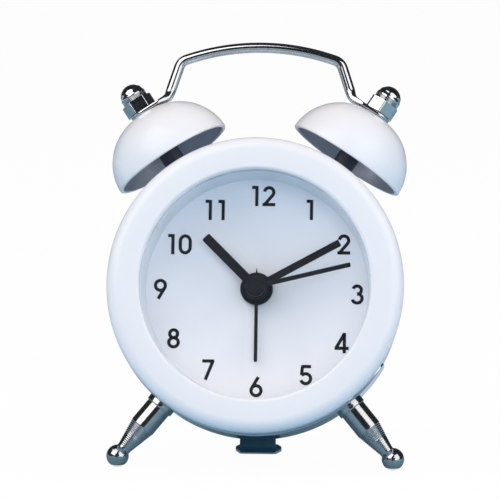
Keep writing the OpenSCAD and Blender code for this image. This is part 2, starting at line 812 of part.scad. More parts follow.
module circuit_board() {
  color(board_green) placed() translate([board_from[0], board_from[1], z_room - board_t])
    cube([board_size[0], board_size[1], board_t]);
}

module crystal() {
  color(nickel) placed()
    translate([board_from[0] + board_size[0] / 2, board_from[1] + crystal_in, z_room - board_t - crystal_r])
    rotate([0, 90, 0]) cylinder(r = crystal_r, h = crystal_len, center = true);
}

module buzzer() {
  color(black_plastic) placed() at(buzzer_pos) difference() {
    slab(buzzer_r, z_room, buzzer_t);
    rod(buzzer_hole_r, z_room - buzzer_t - past, z_room - buzzer_t / 2);
  }
}

module battery_cell() {
  shoulder_t = 0.5;
  shoulder_w = 1;
  color(nickel) placed() at(cell_pos) {
    rod(cell_r, z_cell - cell_h, z_cell - shoulder_t);
    rod(cell_r - shoulder_w, z_cell - shoulder_t, z_cell);
  }
}

module negative_contact() {
  color(brass) placed() at(cell_pos) slab(cell_r / 2, cup_floor, contact_t);
}

module positive_contact() {
  color(brass) placed() at(cell_pos) rotate(contact_from) rotate_extrude(angle = contact_span)
    translate([cell_r + seat_fit, z_room]) square([cell_room - seat_fit, cell_h / 2]);
}

// A ring sector of a bayonet, centred on the cap's own x axis
module lug(r, span, from, to) {
  rotate(-span / 2) rotate_extrude(angle = span) translate([cap_body_r / 2, from])
    square([r - cap_body_r / 2, to - from]);
}

module battery_cap() {
  coin_w = 1.2;
  coin_slot = [1.3 * cap_body_r, coin_w];
  coin_depth = 0.5;
  cap_end = z_back - lug_gap - cap_flange_t;
  color(black_plastic) placed() at(cell_pos) difference() {
    union() {
      rod(cap_body_r, z_back - lug_gap, z_back + cap_body_t);
      rod(cap_flange_r, cap_end, z_back - lug_gap);
      for (turn = lug_turns) rotate(turn) lug(lug_r, lug_span, z_cover + lug_gap, z_cover + lug_gap + lug_t);
    }
    block([0, 0], coin_slot, cap_end - past, cap_end + coin_depth);
  }
}

module rear_cover() {
  slot = [switch_neck[0] + switch_travel + 4 * seat_fit, switch_neck[1] + 4 * seat_fit];
  color(black_plastic) placed() difference() {
    union() {
      slab(drum_r, z_cover, cover_t);
      slab(bore_r - seat_fit, z_room, cover_room + cover_t / 2, bore_r - seat_fit - rib_t);
      slab(movement_r, z_room, cover_room + cover_t / 2, rib_in);
    }
    at(cell_pos) {
      rod(cap_body_r + run_fit, z_back - past, z_cover + past);
      for (turn = lug_turns) rotate(turn - cap_turn)
        lug(lug_r + 2 * run_fit, lug_span + notch_spare, z_back - past, z_cover + past);
    }
    for (pos = [time_pos, alarm_pos]) at(pos) rod(set_shaft_r + knob_gap, z_back - past, z_cover + past);
    block([switch_pos[0] + switch_travel / 2, switch_pos[1]], slot, z_back - past, z_cover + past);
    for (turn = long_screw_turns)
      rotate(-turn) translate([0, long_screw_at, 0])
        rod(long_screw_r + seat_fit, z_back - past, z_room + past);
    for (i = [-sound_each_side : sound_each_side])
      block(buzzer_pos + [sound_pitch * i, 0], sound_slot, z_back - past, z_cover + past);
    foot_screw_places() rod(small_screw_r + seat_fit, z_back - past, z_cover + past);
  }
}

module cover_screws() {
  color(nickel) placed() for (turn = long_screw_turns) rotate(-turn) translate([0, long_screw_at, 0]) {
    rod(long_screw_head_r, z_back - long_screw_head_t, z_back);
    rod(long_screw_r, z_back, -ring_t + long_screw_bite - seat_fit);
  }
}

// A thin full dome, open at the rim, with the stud's hole at its top. Its profile is an arc
// as high as the bell, which leaves the rim square and ends near the axis.
module bell(side) {
  color(white_enamel) placed() radial(side * bell_angle, bell_back) translate([0, 0, rim_at])
    rotate_extrude() difference() {
      intersection() {
        translate([bell_arc_at, 0]) circle(bell_h);
        translate([bell_hole_r, 0]) square([bell_d, bell_h + past]);
      }
      translate([bell_arc_at, 0]) circle(bell_h - bell_wall);
    }
}

module left_bell() {
  bell(-1);
}

module right_bell() {
  bell(1);
}

module bell_post(side) {
  color(black_plastic) placed() radial(side * bell_angle, bell_back) difference() {
    rod(post_d / 2, drum_r, post_top);
    rod(stud_r + seat_fit, drum_r - past, post_top + past);
  }
}

module left_bell_post() {
  bell_post(-1);
}

module right_bell_post() {
  bell_post(1);
}

module bell_studs() {
  color(nickel) placed() for (side = [-1, 1]) radial(side * bell_angle, bell_back)
    rod(stud_r, inner_nut_at - stud_past, tab_top + cap_nut_h - nut_cap_t);
}

// A hexagon with its top corners turned off, and a blind dome
module cap_nuts() {
  color(chrome) placed() for (side = [-1, 1]) radial(side * bell_angle, bell_back)
    translate([0, 0, tab_top]) difference() {
      union() {
        intersection() {
          cylinder(r = nut_corner_r, h = hex_h, $fn = 6);
          cylinder(r1 = nut_corner_r + hex_h, r2 = nut_corner_r - nut_chamfer, h = hex_h);
        }
        cylinder(r = dome_d / 2, h = cap_nut_h - dome_d / 2);
        translate([0, 0, cap_nut_h - dome_d / 2]) sphere(dome_d / 2);
      }
      translate([0, 0, -past]) cylinder(r = stud_r + seat_fit, h = cap_nut_h - nut_cap_t + past);
    }
}

module plain_nut() {
  translate([0, 0, inner_nut_at]) difference() {
    cylinder(r = nut_corner_r, h = inner_nut_h, $fn = 6);
    translate([0, 0, -past]) cylinder(r = stud_r + seat_fit, h = inner_nut_h + 2 * past);
  }
}

module inner_nuts() {
  color(nickel) placed() for (side = [-1, 1]) {
    radial(side * bell_angle, bell_back) plain_nut();
    radial(180 - side * leg_angle, leg_back) plain_nut();
  }
}

// Flat end, leg and shoulder of the handle, on the side of positive x
module handle_side() {
  sunk = 3;
  radial(bell_angle, 0) translate([0, 0, bell_top]) linear_extrude(tab_t) difference() {
    union() {
      circle(tab_w / 2);
      translate([-tab_reach, -tab_w / 2]) square([tab_reach, tab_w]);
      translate([-tab_reach, 0]) circle(tab_w / 2);
    }
    circle(stud_r + seat_fit);
  }
  difference() {
    translate([rod_foot[0], rod_foot[1], 0]) rotate(handle_slope) rotate([-90, 0, 0])
      translate([0, 0, -sunk]) cylinder(r = rod_r - rod_step, h = rod_len + sunk + rod_lap);
    radial(bell_angle, 0) translate([-2 * tab_reach, -tab_w, bell_top - 2 * sunk + tab_t / 2])
      cube([4 * tab_reach, 2 * tab_w, 2 * sunk]);
  }
  translate([shoulder_at[0], shoulder_at[1], 0]) rotate(handle_slope)
    rotate_extrude(angle = 90 - handle_slope - arc_half) translate([shoulder_r, 0]) circle(rod_r);
}

module handle() {
  lap = rod_lap / handle_arc * 180 / PI;
  color(chrome) placed() translate([0, 0, -bell_back]) {
    handle_side();
    mirror([1, 0, 0]) handle_side();
    translate([0, arc_y, 0]) rotate(90 - arc_half - lap) rotate_extrude(angle = 2 * (arc_half + lap))
      translate([handle_arc, 0]) circle(rod_r - rod_step);
  }
}

module leg_strap() {
  span = 2 * (leg_angle + strap_past);
  color(chrome) placed() difference() {
    rotate(-90 - span / 2) rotate_extrude(angle = span)
      translate([drum_r, -leg_back - strap_w / 2]) square([strap_t, strap_w]);
    for (side = [-1, 1])
      radial(180 - side * leg_angle, leg_back) rod(stud_r + seat_fit, drum_r - past, strap_r + past);
  }
}

// Turned leg: stud, collar, cylinder, taper and ball, outwards along its own axis
module leg(side) {
  color(nickel) placed() radial(180 - side * leg_angle, leg_back) rotate_extrude() {
    translate([0, inner_nut_at - stud_past]) square([stud_r, strap_r + collar_t - inner_nut_at]);
    translate([0, strap_r]) square([leg_d / 2 + collar_lip, collar_t]);
    translate([0, strap_r + collar_t / 2]) square([leg_d / 2, collar_t / 2 + leg_barrel]);
    polygon([[0, taper_at], [leg_d / 2, taper_at], [leg_neck_d / 2, neck_at], [0, neck_at]]);
    intersection() {
      translate([0, ball_at]) circle(ball_r);
      translate([0, neck_at - past]) square([ball_d, 2 * ball_d]);
    }
  }
}

module left_leg() {
  leg(-1);
}

module right_leg() {
  leg(1);
}

// Two screws one above the other, in the upright of the rear foot
module foot_screw_places() {
  for (share = foot_screw_shares) translate([0, -drum_r + foot_lap * share, 0]) children();
}

// Upright on the rear cover, bent back into a sole that lies on the ground
module rear_foot() {
  color(black_plastic) {
    placed() difference() {
      translate([-foot_w / 2, foot_low, -foot_back]) cube([foot_w, foot_lap - drum_r - foot_low, foot_t]);
      foot_screw_places() rod(small_screw_r + seat_fit, -foot_back - past, -foot_front + past);
    }
    translate([0, y_shift + sole_from, 0]) linear_extrude(foot_t) {
      polygon([[-foot_w / 2, 0], [foot_w / 2, 0], [sole_r, sole_len - sole_r], [-sole_r, sole_len - sole_r]]);
      translate([0, sole_len - sole_r]) circle(sole_r);
    }
  }
}

module foot_screws() {
  color(nickel) placed() foot_screw_places() {
    rod(small_head_r, -foot_back - small_head_t, -foot_back);
    rod(small_screw_r, -foot_back, z_cover - seat_fit);
  }
}

bezel();
lens();
dial_ring();
dial();
case_drum();
alarm_hand();
hour_hand();
minute_hand();
second_hand();
movement_case();
middle_plate();
rear_plate();
movement_screws();
seconds_wheel();
third_wheel();
centre_wheel();
intermediate_wheel();
rotor();
stator();
coil();
minute_cannon();
motion_wheel();
hour_wheel();
alarm_wheel();
time_set_shaft();
time_knob();
alarm_set_shaft();
alarm_knob();
alarm_switch();
circuit_board();
crystal();
buzzer();
battery_cell();
negative_contact();
positive_contact();
battery_cap();
rear_cover();
cover_screws();
left_bell();
right_bell();
left_bell_post();
right_bell_post();
bell_studs();
cap_nuts();
inner_nuts();
handle();
leg_strap();
left_leg();
right_leg();
rear_foot();
foot_screws();
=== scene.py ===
import json

import bmesh
import bpy
import numpy as np
from bpy.props import FloatProperty, FloatVectorProperty, IntProperty, PointerProperty
from bpy.types import NodeSocket, Operator, Panel, PropertyGroup
from mathutils import Matrix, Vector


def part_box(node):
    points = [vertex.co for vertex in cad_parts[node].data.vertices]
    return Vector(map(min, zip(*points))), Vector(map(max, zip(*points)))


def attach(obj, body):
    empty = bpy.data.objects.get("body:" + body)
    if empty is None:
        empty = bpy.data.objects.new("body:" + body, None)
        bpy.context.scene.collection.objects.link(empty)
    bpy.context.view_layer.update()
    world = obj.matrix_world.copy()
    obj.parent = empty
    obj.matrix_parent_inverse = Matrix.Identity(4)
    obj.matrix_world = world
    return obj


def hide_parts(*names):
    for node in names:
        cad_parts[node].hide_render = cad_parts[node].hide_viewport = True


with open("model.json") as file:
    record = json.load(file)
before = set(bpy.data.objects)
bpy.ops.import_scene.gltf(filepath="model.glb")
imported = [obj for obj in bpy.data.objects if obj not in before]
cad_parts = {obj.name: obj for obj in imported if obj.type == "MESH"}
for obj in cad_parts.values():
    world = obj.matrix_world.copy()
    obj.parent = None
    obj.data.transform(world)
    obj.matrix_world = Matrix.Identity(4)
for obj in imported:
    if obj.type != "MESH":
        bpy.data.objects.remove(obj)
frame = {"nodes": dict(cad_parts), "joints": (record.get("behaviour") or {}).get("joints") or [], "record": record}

bl_info = {
    "name": "Twin Bell Clock",
    "version": (1, 0, 0),
    "blender": (4, 5, 0),
    "location": "View3D > Sidebar > Clock",
    "description": "Dresses the solids of a small twin bell alarm clock and sets up its studio",
    "category": "Object",
}

MM = 0.001
X_AXIS, Z_AXIS = np.array([1.0, 0.0, 0.0]), np.array([0.0, 0.0, 1.0])
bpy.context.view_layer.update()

# The dial's own frame: x to the right, y up the dial, z out of it, from the middle of the bezel's front plane
SPINDLE = next(j for j in frame["joints"] if j["name"] == "seconds_spin")
SPINDLE_BACK = 18 * MM
INWARD = np.array(SPINDLE["axis"])
FRONT = np.array(SPINDLE["pos_m"]) - SPINDLE_BACK * INWARD
DIAL = np.stack([X_AXIS, np.cross(-INWARD, X_AXIS), -INWARD])

# Depths behind the front plane, as the solids have them
LENS_FACE, LENS_BACK = 1.8 * MM, 3.0 * MM
DRUM_FACE, SPIGOT_END = 3.5 * MM, 6.0 * MM
RING_FOOT, COVER_BACK = 9.2 * MM, 25.2 * MM
KNOB_FACE, KNOB_BACK = 25.6 * MM, 30.0 * MM

# The part of a noise's range that is spread over a finish's colours and gloss
NOISE_LOW, NOISE_HIGH = 0.3, 0.7

WELD = 2e-7
SIDES = (("left", -1), ("right", 1))


def length(label, text, size, low=0.0):
    """A length property, given in millimetres."""
    return FloatProperty(name=label, description=text, default=size * MM, min=low, precision=5, unit="LENGTH")


def angle(label, text, degrees):
    """An angle property, given in degrees."""
    return FloatProperty(name=label, description=text, default=np.radians(degrees), subtype="ANGLE")


def colour(label, text, *rgb):
    """A linear colour property."""
    return FloatVectorProperty(name=label, description=text, default=rgb, min=0.0, max=1.0, size=3, subtype="COLOR")


def power(label, text, watts):
    """A lamp's power property."""
    return FloatProperty(name=label, description=text, default=watts, unit="POWER")


class ClockSizes(PropertyGroup):
    """Sizes of the dressed pieces, which follow the solids."""
    bezel_r: length("Bezel radius", "Outside of the thick front ring", 28.0)
    opening_r: length("Opening radius", "Inside of the bezel's lip", 21.7)
    edge_round: length("Edge rounding", "Outer front edge of the bezel", 2.4)
    lip_round: length("Lip rounding", "Inner front edge of the bezel", 0.7)
    bezel_depth: length("Bezel depth", "How far the bezel's skirt reaches back", 5.5)
    drum_r: length("Drum radius", "Outside of the drum", 27.4)
    drum_back: length("Drum back", "Distance from the front plane to the drum's rear edge", 24.0)
    lens_r: length("Lens radius", "Edge of the window", 22.6)
    dial_depth: length("Dial depth", "Distance from the front plane to the dial", 11.0)
    dial_r: length("Dial radius", "Edge of the dial disc", 23.6)
    number_ring_r: length("Number ring", "Radius on which the numbers stand", 18.32)
    number_ring_x: length("Number ring offset X", "The print's own offset to the right", 0.54, -1.0)
    number_ring_y: length("Number ring offset Y", "The print's own offset upwards", -0.21, -1.0)
    number_turn: angle("Number ring turn", "The print's own turn, clockwise", 0.97)
    number_h: length("Number height", "Height of a number", 3.9)
    number_w: length("Number stroke", "Width of a number's stroke", 0.62)
    number_t: length("Number thickness", "How far the print stands on the dial", 0.05)
    hand_t: length("Hand thickness", "Sheet of the hands", 0.4)
    hub_t: length("Hub height", "Collar of each hand", 1.0)
    bell_turn: angle("Bell angle", "Bells' axes from straight up", 33.2)
    bell_back: length("Bell setback", "Bells' axes behind the front plane", 14.2)
    bell_rim_at: length("Bell rim", "Bells' rims from the dial's axis", 30.4)
    bell_rim_r: length("Bell rim radius", "Outside of a bell at its rim", 12.0)
    bell_h: length("Bell height", "Rim to top", 10.4)
    bell_wall: length("Bell wall", "Thickness of a bell's metal", 0.9)
    bell_hole_r: length("Bell hole radius", "Hole for the stud at a bell's top", 1.55)
    post_r: length("Post radius", "Dark posts under the bells", 2.1)
    nut_af: length("Nut across flats", "Hexagon of the cap nuts", 5.5)
    nut_hex_h: length("Nut hexagon height", "Hexagon of the cap nuts", 2.4)
    nut_dome_r: length("Nut dome radius", "Dome of the cap nuts", 2.6)
    nut_h: length("Nut height", "Whole cap nut", 5.8)
    rod_r: length("Handle rod radius", "Round part of the handle", 1.0)
    tab_w: length("Handle tab width", "Flattened ends of the handle", 5.2)
    tab_t: length("Handle tab thickness", "Flattened ends of the handle", 0.8)
    tab_reach: length("Handle tab reach", "From a stud to the rod's foot", 6.2)
    handle_top: length("Handle top", "Top of the arch from the dial's axis", 47.5)
    handle_arch_r: length("Handle arch radius", "Long curve across the top", 43.6)
    handle_bend_r: length("Handle bend radius", "Bends at the ends of the arch", 2.4)
    handle_slope: angle("Handle slope", "Lean of the rod's uprights", 18.0)
    leg_turn: angle("Leg angle", "Legs' axes from straight down", 39.5)
    leg_back: length("Leg setback", "Legs' axes behind the front plane", 13.8)
    leg_r: length("Leg radius", "Straight part of a leg", 2.5)
    neck_r: length("Leg neck radius", "Thin end of a leg's taper", 1.35)
    ball_r: length("Ball foot radius", "Ball at the end of a leg", 2.15)
    strap_w: length("Strap width", "Band between the legs", 12.0)
    strap_t: length("Strap thickness", "Band between the legs", 0.8)
    strap_past: angle("Strap end", "How far the strap runs on past each leg", 20.5)
    foot_w: length("Rear foot width", "Upright of the rear foot", 7.0)
    foot_t: length("Rear foot thickness", "Sheet of the rear foot", 1.0)
    sole_flare: length("Sole flare", "How much wider the sole is to each side", 1.0)
    knob_r: length("Knob radius", "Setting knobs at the back", 4.2)
    around: IntProperty(name="Steps around", description="Points round a turned piece", default=144, min=24)


class ClockColours(PropertyGroup):
    """Linear colours of the finishes."""
    enamel: colour("Enamel", "Bezel, drum and bells", 0.83, 0.813, 0.82)
    enamel_shade: colour("Enamel shade", "Faint tint in the enamel", 0.815, 0.803, 0.815)
    lining: colour("Bell lining", "Bare grey inside of the bells", 0.50, 0.54, 0.63)
    dial: colour("Dial", "Printed dial", 0.86, 0.87, 0.91)
    ring: colour("Dial ring", "Wall of the recess", 0.80, 0.825, 0.86)
    print_black: colour("Number paint", "Numbers on the dial", 0.012, 0.012, 0.016)
    hand_black: colour("Hand paint", "The four hands", 0.011, 0.011, 0.014)
    plastic_black: colour("Black plastic", "Posts, rear cover and knobs", 0.055, 0.060, 0.080)
    sheet_black: colour("Black sheet", "Rear foot", 0.011, 0.074, 0.120)
    chrome: colour("Chrome", "Handle, cap nuts and strap", 0.74, 0.75, 0.77)
    nickel: colour("Satin nickel", "Legs and screws", 0.66, 0.66, 0.67)
    brass: colour("Brass", "Wheels of the seconds train", 0.56, 0.39, 0.13)
    copper: colour("Copper", "Winding of the motor", 0.48, 0.17, 0.06)
    plastic_grey: colour("Grey plastic", "Plates and plain wheels", 0.27, 0.285, 0.31)
    plastic_white: colour("White plastic", "Alarm switch", 0.80, 0.81, 0.83)
    board: colour("Board lacquer", "Circuit board", 0.018, 0.10, 0.035)
    floor: colour("Floor", "Ground under the clock", 0.90, 0.90, 0.90)
    bounce: colour("Floor bounce", "Light that the ground gives back", 0.26, 0.50, 0.72)
    card: colour("Dark card", "Flags all round and above that shape reflections", 0.05, 0.045, 0.045)
    table: colour("Blue card", "Flag below that shapes reflections", 0.20, 0.35, 0.44)
    behind: colour("Pale card", "Flag on the ground behind that shapes reflections", 0.47, 0.55, 0.70)


class StudioLevels(PropertyGroup):
    """Lamps and camera of the stage."""
    key_power: power("Key lamp", "Large lamp above and to the left", 3.7)
    fill_power: power("Fill lamp", "Broad lamp in front", 2.3)
    right_power: power("Right lamp", "Soft lamp on the right", 1.75)
    left_power: power("Left lamp", "Soft lamp on the left", 0.6)
    top_power: power("Top lamp", "Soft lamp overhead", 0.75)
    ambient: FloatProperty(name="Ambient level", description="Light from all round on dull surfaces", default=0.375)
    card_light: FloatProperty(name="Light card", description="Glow of the card mirrored on the right", default=1.35)
    focal: FloatProperty(name="Focal length", description="Camera's lens", default=218.664, unit="CAMERA")
    azimuth: angle("Camera azimuth", "Camera round to the right", 2.544)
    elevation: angle("Camera elevation", "Camera above the horizon", 8.067)
    roll: angle("Camera roll", "Camera's turn about its view", 0.205)
    distance: length("Camera distance", "From the camera to the point it looks at", 580.777)


# Shapes


class Sheet:
    """A grid of points, which ways it joins round, and which finish each of its strips takes."""

    def __init__(self, points, round_u=False, round_v=False, finish=0):
        self.points = points
        self.round_u = round_u
        self.round_v = round_v
        self.finish = finish

    def quads(self):
        """Corner numbers of the quads between neighbouring rows and columns, and each quad's finish."""
        rows, columns = self.points.shape[:2]
        i, j = np.meshgrid(np.arange(rows - (not self.round_u)), np.arange(columns - (not self.round_v)), indexing="ij")
        ahead, beside = (i + 1) % rows, (j + 1) % columns
        corners = np.stack([i * columns + j, ahead * columns + j, ahead * columns + beside, i * columns + beside], -1)
        finish = np.broadcast_to(self.finish, (rows, columns))[i, j]
        return corners.reshape(-1, 4), finish.ravel()


def mm(*sizes):
    """Sizes in millimetres as an array."""
    return np.array(sizes) * MM


def dial_spot(x=0.0, y=0.0):
    """Origin and axes of a place on the dial's front plane."""
    return FRONT + np.array([x, y, 0.0]) @ DIAL, DIAL


def radial_spot(turn, back):
    """Origin and axes of a piece whose z points out from the dial's axis, turned clockwise from 12."""
    axes = np.array([[np.cos(turn), -np.sin(turn), 0], [0, 0, -1], [np.sin(turn), np.cos(turn), 0]])
    return FRONT + np.array([0, 0, -back]) @ DIAL, axes @ DIAL


def put(points, spot):
    """Points of a place's own frame, carried into the shared frame."""
    return spot[0] + points @ spot[1]


def arc(x, y, radius_x, radius_y, start, stop, steps=28):
    """Points of an ellipse's arc between two angles in degrees."""
    turn = np.radians(np.linspace(start, stop, steps))
    return np.stack([x + radius_x * np.cos(turn), y + radius_y * np.sin(turn)], -1)


def eased(corners, radii, steps=7, closed=True):
    """A line through corners, each rounded by an arc that touches both of its sides at radius * tan(half the turn)."""
    corners = np.asarray(corners, float)
    count = len(corners)
    out = []
    for k, (corner, radius) in enumerate(zip(corners, radii)):
        if radius <= 0 or (not closed and k in (0, count - 1)):
            out.append(corner[None])
            continue
        back = corners[k - 1] - corner
        ahead = corners[(k + 1) % count] - corner
        back, ahead = back / np.linalg.norm(back), ahead / np.linalg.norm(ahead)
        half = 0.5 * np.arccos(np.clip(back @ ahead, -1, 1))
        middle = corner + (back + ahead) / np.linalg.norm(back + ahead) * radius / np.sin(half)
        first = corner + back * radius / np.tan(half) - middle
        last = corner + ahead * radius / np.tan(half) - middle
        start = np.arctan2(first[1], first[0])
        sweep = np.arctan2(first[0] * last[1] - first[1] * last[0], first @ last)
        turn = start + np.linspace(0, 1, steps) * sweep
        out.append(middle + radius * np.stack([np.cos(turn), np.sin(turn)], -1))
    return np.concatenate(out)


def run_along(line):
    """How far along a line each of its points lies: the sum of the steps up to it."""
    return np.concatenate([[0], np.cumsum(np.linalg.norm(np.diff(line, axis=0), axis=1))])


def turns(count):
    """Even angles round a circle, as a column."""
    return np.linspace(0, 2 * np.pi, count, endpoint=False)[:, None]


def spun(radius, height, turn):
    """Points at a radius and a height, turned round the z axis: (r cos t, r sin t, h)."""
    return np.stack([radius * np.cos(turn), radius * np.sin(turn), height + 0 * turn], -1)


def lathe(profile, spot, around, closed=True, finish=0):
    """A profile of radius and height, carried round the spot's z axis."""
    return Sheet(put(spun(profile[:, 0], profile[:, 1], turns(around)), spot), True, closed, finish)


def capped(rings):
    """Rings of a tube with a row added at each end in which all points lie in the ring's middle, which closes it."""
    ends = rings[[0, -1]].mean(1, keepdims=True).repeat(rings.shape[1], 1)
    return np.concatenate([ends[:1], rings, ends[1:]])


def stroke(path, width, low, high, closed):
    """A flat stroke: the path moved half the width to both sides along its normals, between two levels."""
    if closed:
        along = np.roll(path, -1, 0) - np.roll(path, 1, 0)
    else:
        along = np.gradient(path, axis=0)
    along /= np.linalg.norm(along, axis=1, keepdims=True)
    aside = np.stack([-along[:, 1], along[:, 0]], -1) * width / 2
    edges = np.stack([path + aside, path + aside, path - aside, path - aside], 1)
    levels = np.broadcast_to(np.array([low, high, high, low]), edges.shape[:2])[..., None]
    rings = np.concatenate([edges, levels], -1)
    return rings if closed else capped(rings)


def swept(path, across, half_w, half_t, degree, steps=36):
    """A tube along a path in space: its section is a superellipse |u/w|^p + |v/t|^p = 1 whose half width, half
    thickness and degree may change along the path; w lies along `across`, t along the path's normal."""
    along = np.gradient(path, axis=0)
    along /= np.linalg.norm(along, axis=1, keepdims=True)
    aside = np.broadcast_to(across, along.shape)
    normal = np.cross(along, aside)
    half_w, half_t, degree = (np.broadcast_to(v, len(path))[:, None] for v in (half_w, half_t, degree))
    turn = turns(steps)[:, 0]
    c, s = np.cos(turn), np.sin(turn)
    u = half_w * np.sign(c) * np.abs(c) ** (2 / degree)
    v = half_t * np.sign(s) * np.abs(s) ** (2 / degree)
    return capped(path[:, None] + u[..., None] * aside[:, None] + v[..., None] * normal[:, None])


def smooth(value, start, stop):
    """Rises from 0 at start to 1 at stop along 3t^2 - 2t^3."""
    t = np.clip((value - start) / (stop - start), 0, 1)
    return t * t * (3 - 2 * t)


def add_piece(name, sheets, slot, nodes=(), body="case", finishes=None, sharp=32.0):
    """Makes one object from sheets: welds their seams and poles, turns faces outwards, and joins it to the frame.
    Its finish is its slot's unless others are named."""
    points, quads, strips, start = [], [], [], 0
    for sheet in sheets:
        corners, finish = sheet.quads()
        points.append(sheet.points.reshape(-1, 3))
        quads.append(corners + start)
        strips.append(finish)
        start += len(points[-1])
    mesh = bpy.data.meshes.new(name)
    mesh.from_pydata(np.concatenate(points).tolist(), [], np.concatenate(quads).tolist())
    mesh.polygons.foreach_set("material_index", np.concatenate(strips).astype(np.int32))
    shell = bmesh.new()
    shell.from_mesh(mesh)
    bmesh.ops.remove_doubles(shell, verts=shell.verts, dist=WELD)
    bmesh.ops.recalc_face_normals(shell, faces=shell.faces)
    shell.to_mesh(mesh)
    shell.free()
    mesh.polygons.foreach_set("use_smooth", np.ones(len(mesh.polygons), bool))
    mesh.set_sharp_from_angle(angle=np.radians(sharp))
    for finish in finishes or [slot]:
        mesh.materials.append(finish_for(finish))
    piece = bpy.data.objects.new(name, mesh)
    bpy.context.scene.collection.objects.link(piece)
    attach(piece, body)
    if nodes:
        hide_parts(*nodes)


# Finishes


def blank(holder):
    """The emptied node tree of a material or a world."""
    holder.use_nodes = True
    holder.node_tree.nodes.clear()
    return holder.node_tree


def node(tree, kind, *ordered, **named):
    """A shader node; each input, by its place or by its name with _ for a space, is a constant or the output that
    leads to it."""
    made = tree.nodes.new(kind)
    inputs = dict(enumerate(ordered)) | {label.replace("_", " "): value for label, value in named.items()}
    for key, value in inputs.items():
        if isinstance(value, NodeSocket):
            tree.links.new(value, made.inputs[key])
        else:
            made.inputs[key].default_value = value
    return made


def new_finish(name, **inputs):
    """A plain finish: its material, node tree, shader and the Object coordinates."""
    finish = bpy.data.materials.new(name)
    tree = blank(finish)
    shader = node(tree, "ShaderNodeBsdfPrincipled", **inputs)
    node(tree, "ShaderNodeOutputMaterial", Surface=shader.outputs["BSDF"])
    return finish, tree, shader, node(tree, "ShaderNodeTexCoord").outputs["Object"]


def grain(tree, where, scale, detail=3.0, stretch=None):
    """Noise of a given number of grains to the metre, longer along one axis if stretched."""
    if stretch is not None:
        where = node(tree, "ShaderNodeMapping", Vector=where, Scale=stretch).outputs["Vector"]
    return node(tree, "ShaderNodeTexNoise", Vector=where, Scale=scale, Detail=detail).outputs["Fac"]


def between(tree, value, first, last, socket):
    """Leads a noise to a colour socket as a blend of two colours."""
    blend = node(tree, "ShaderNodeValToRGB", Fac=value)
    low, high = blend.color_ramp.elements
    low.position, high.position = NOISE_LOW, NOISE_HIGH
    low.color, high.color = (*first, 1.0), (*last, 1.0)
    tree.links.new(blend.outputs["Color"], socket)


def spread(tree, value, low, high, socket):
    """Leads a noise to a number socket as a range."""
    ranged = node(tree, "ShaderNodeMapRange", Value=value, From_Min=NOISE_LOW, From_Max=NOISE_HIGH, To_Min=low,
                  To_Max=high)
    tree.links.new(ranged.outputs["Result"], socket)


def relief(tree, value, depth, shader, strength):
    """Leads a noise to the shader's normal as a relief of a given depth."""
    bump = node(tree, "ShaderNodeBump", Height=value, Distance=depth, Strength=strength)
    tree.links.new(bump.outputs["Normal"], shader.inputs["Normal"])


def dimmed(shade, share):
    """A colour made darker by a share."""
    return tuple(c * (1 - share) for c in shade)


def surface(name, tones, cloud, rough, sheen, depth, pebble, strength=1.0, stretch=None, **inputs):
    """A finish in which one noise blends two tones, one spreads the roughness and one gives the relief; cloud, sheen
    and pebble are the scale and detail of these noises."""
    finish, tree, shader, where = new_finish(name, **inputs)
    between(tree, grain(tree, where, *cloud), *tones, shader.inputs["Base Color"])
    spread(tree, grain(tree, where, *sheen, stretch), *rough, shader.inputs["Roughness"])
    relief(tree, grain(tree, where, *pebble, stretch), depth, shader, strength)
    return finish


def enamel_finish(name, base, shade, rough=(0.22, 0.26)):
    """Sprayed gloss enamel: a faint cloud of tint, a slightly wavy surface and a clear coat."""
    return surface(name, (shade, base), (60.0, 3.0), rough, (350.0, 3.0), 6e-7, (1100.0, 1.0),
                   Specular_IOR_Level=0.35, Coat_Weight=0.2, Coat_Roughness=0.08)


def moulded_finish(name, base, rough, depth, scale=2600.0, gloss=0.5, tone=0.14):
    """Moulded plastic or flat paint: a fine pebble grain with a little change of tone and sheen."""
    return surface(name, (dimmed(base, tone), base), (180.0, 3.0), rough, (700.0, 3.0), depth, (scale, 2.0),
                   strength=0.6, Specular_IOR_Level=gloss)


def plated_finish(name, base, rough, depth, scale=500.0, stretch=None, metal=1.0):
    """Plated or turned metal: polishing marks in its gloss and a faint relief."""
    return surface(name, (dimmed(base, 0.08), base), (220.0, 3.0), rough, (scale, 4.0), depth, (2.5 * scale, 2.0),
                   strength=0.5, stretch=stretch, Metallic=metal)


def clear_finish(name):
    """A clear window: nearly all light passes, with faint smudges in what it adds."""
    finish, tree, shader, where = new_finish(name)
    thin, thick = (0.20, 0.24, 0.28), (0.30, 0.34, 0.38)
    spread(tree, grain(tree, where, scale=90.0), 0.008, 0.02, shader.inputs["Alpha"])
    spread(tree, grain(tree, where, scale=300.0), 0.03, 0.09, shader.inputs["Roughness"])
    between(tree, grain(tree, where, scale=40.0), thin, thick, shader.inputs["Base Color"])
    return finish


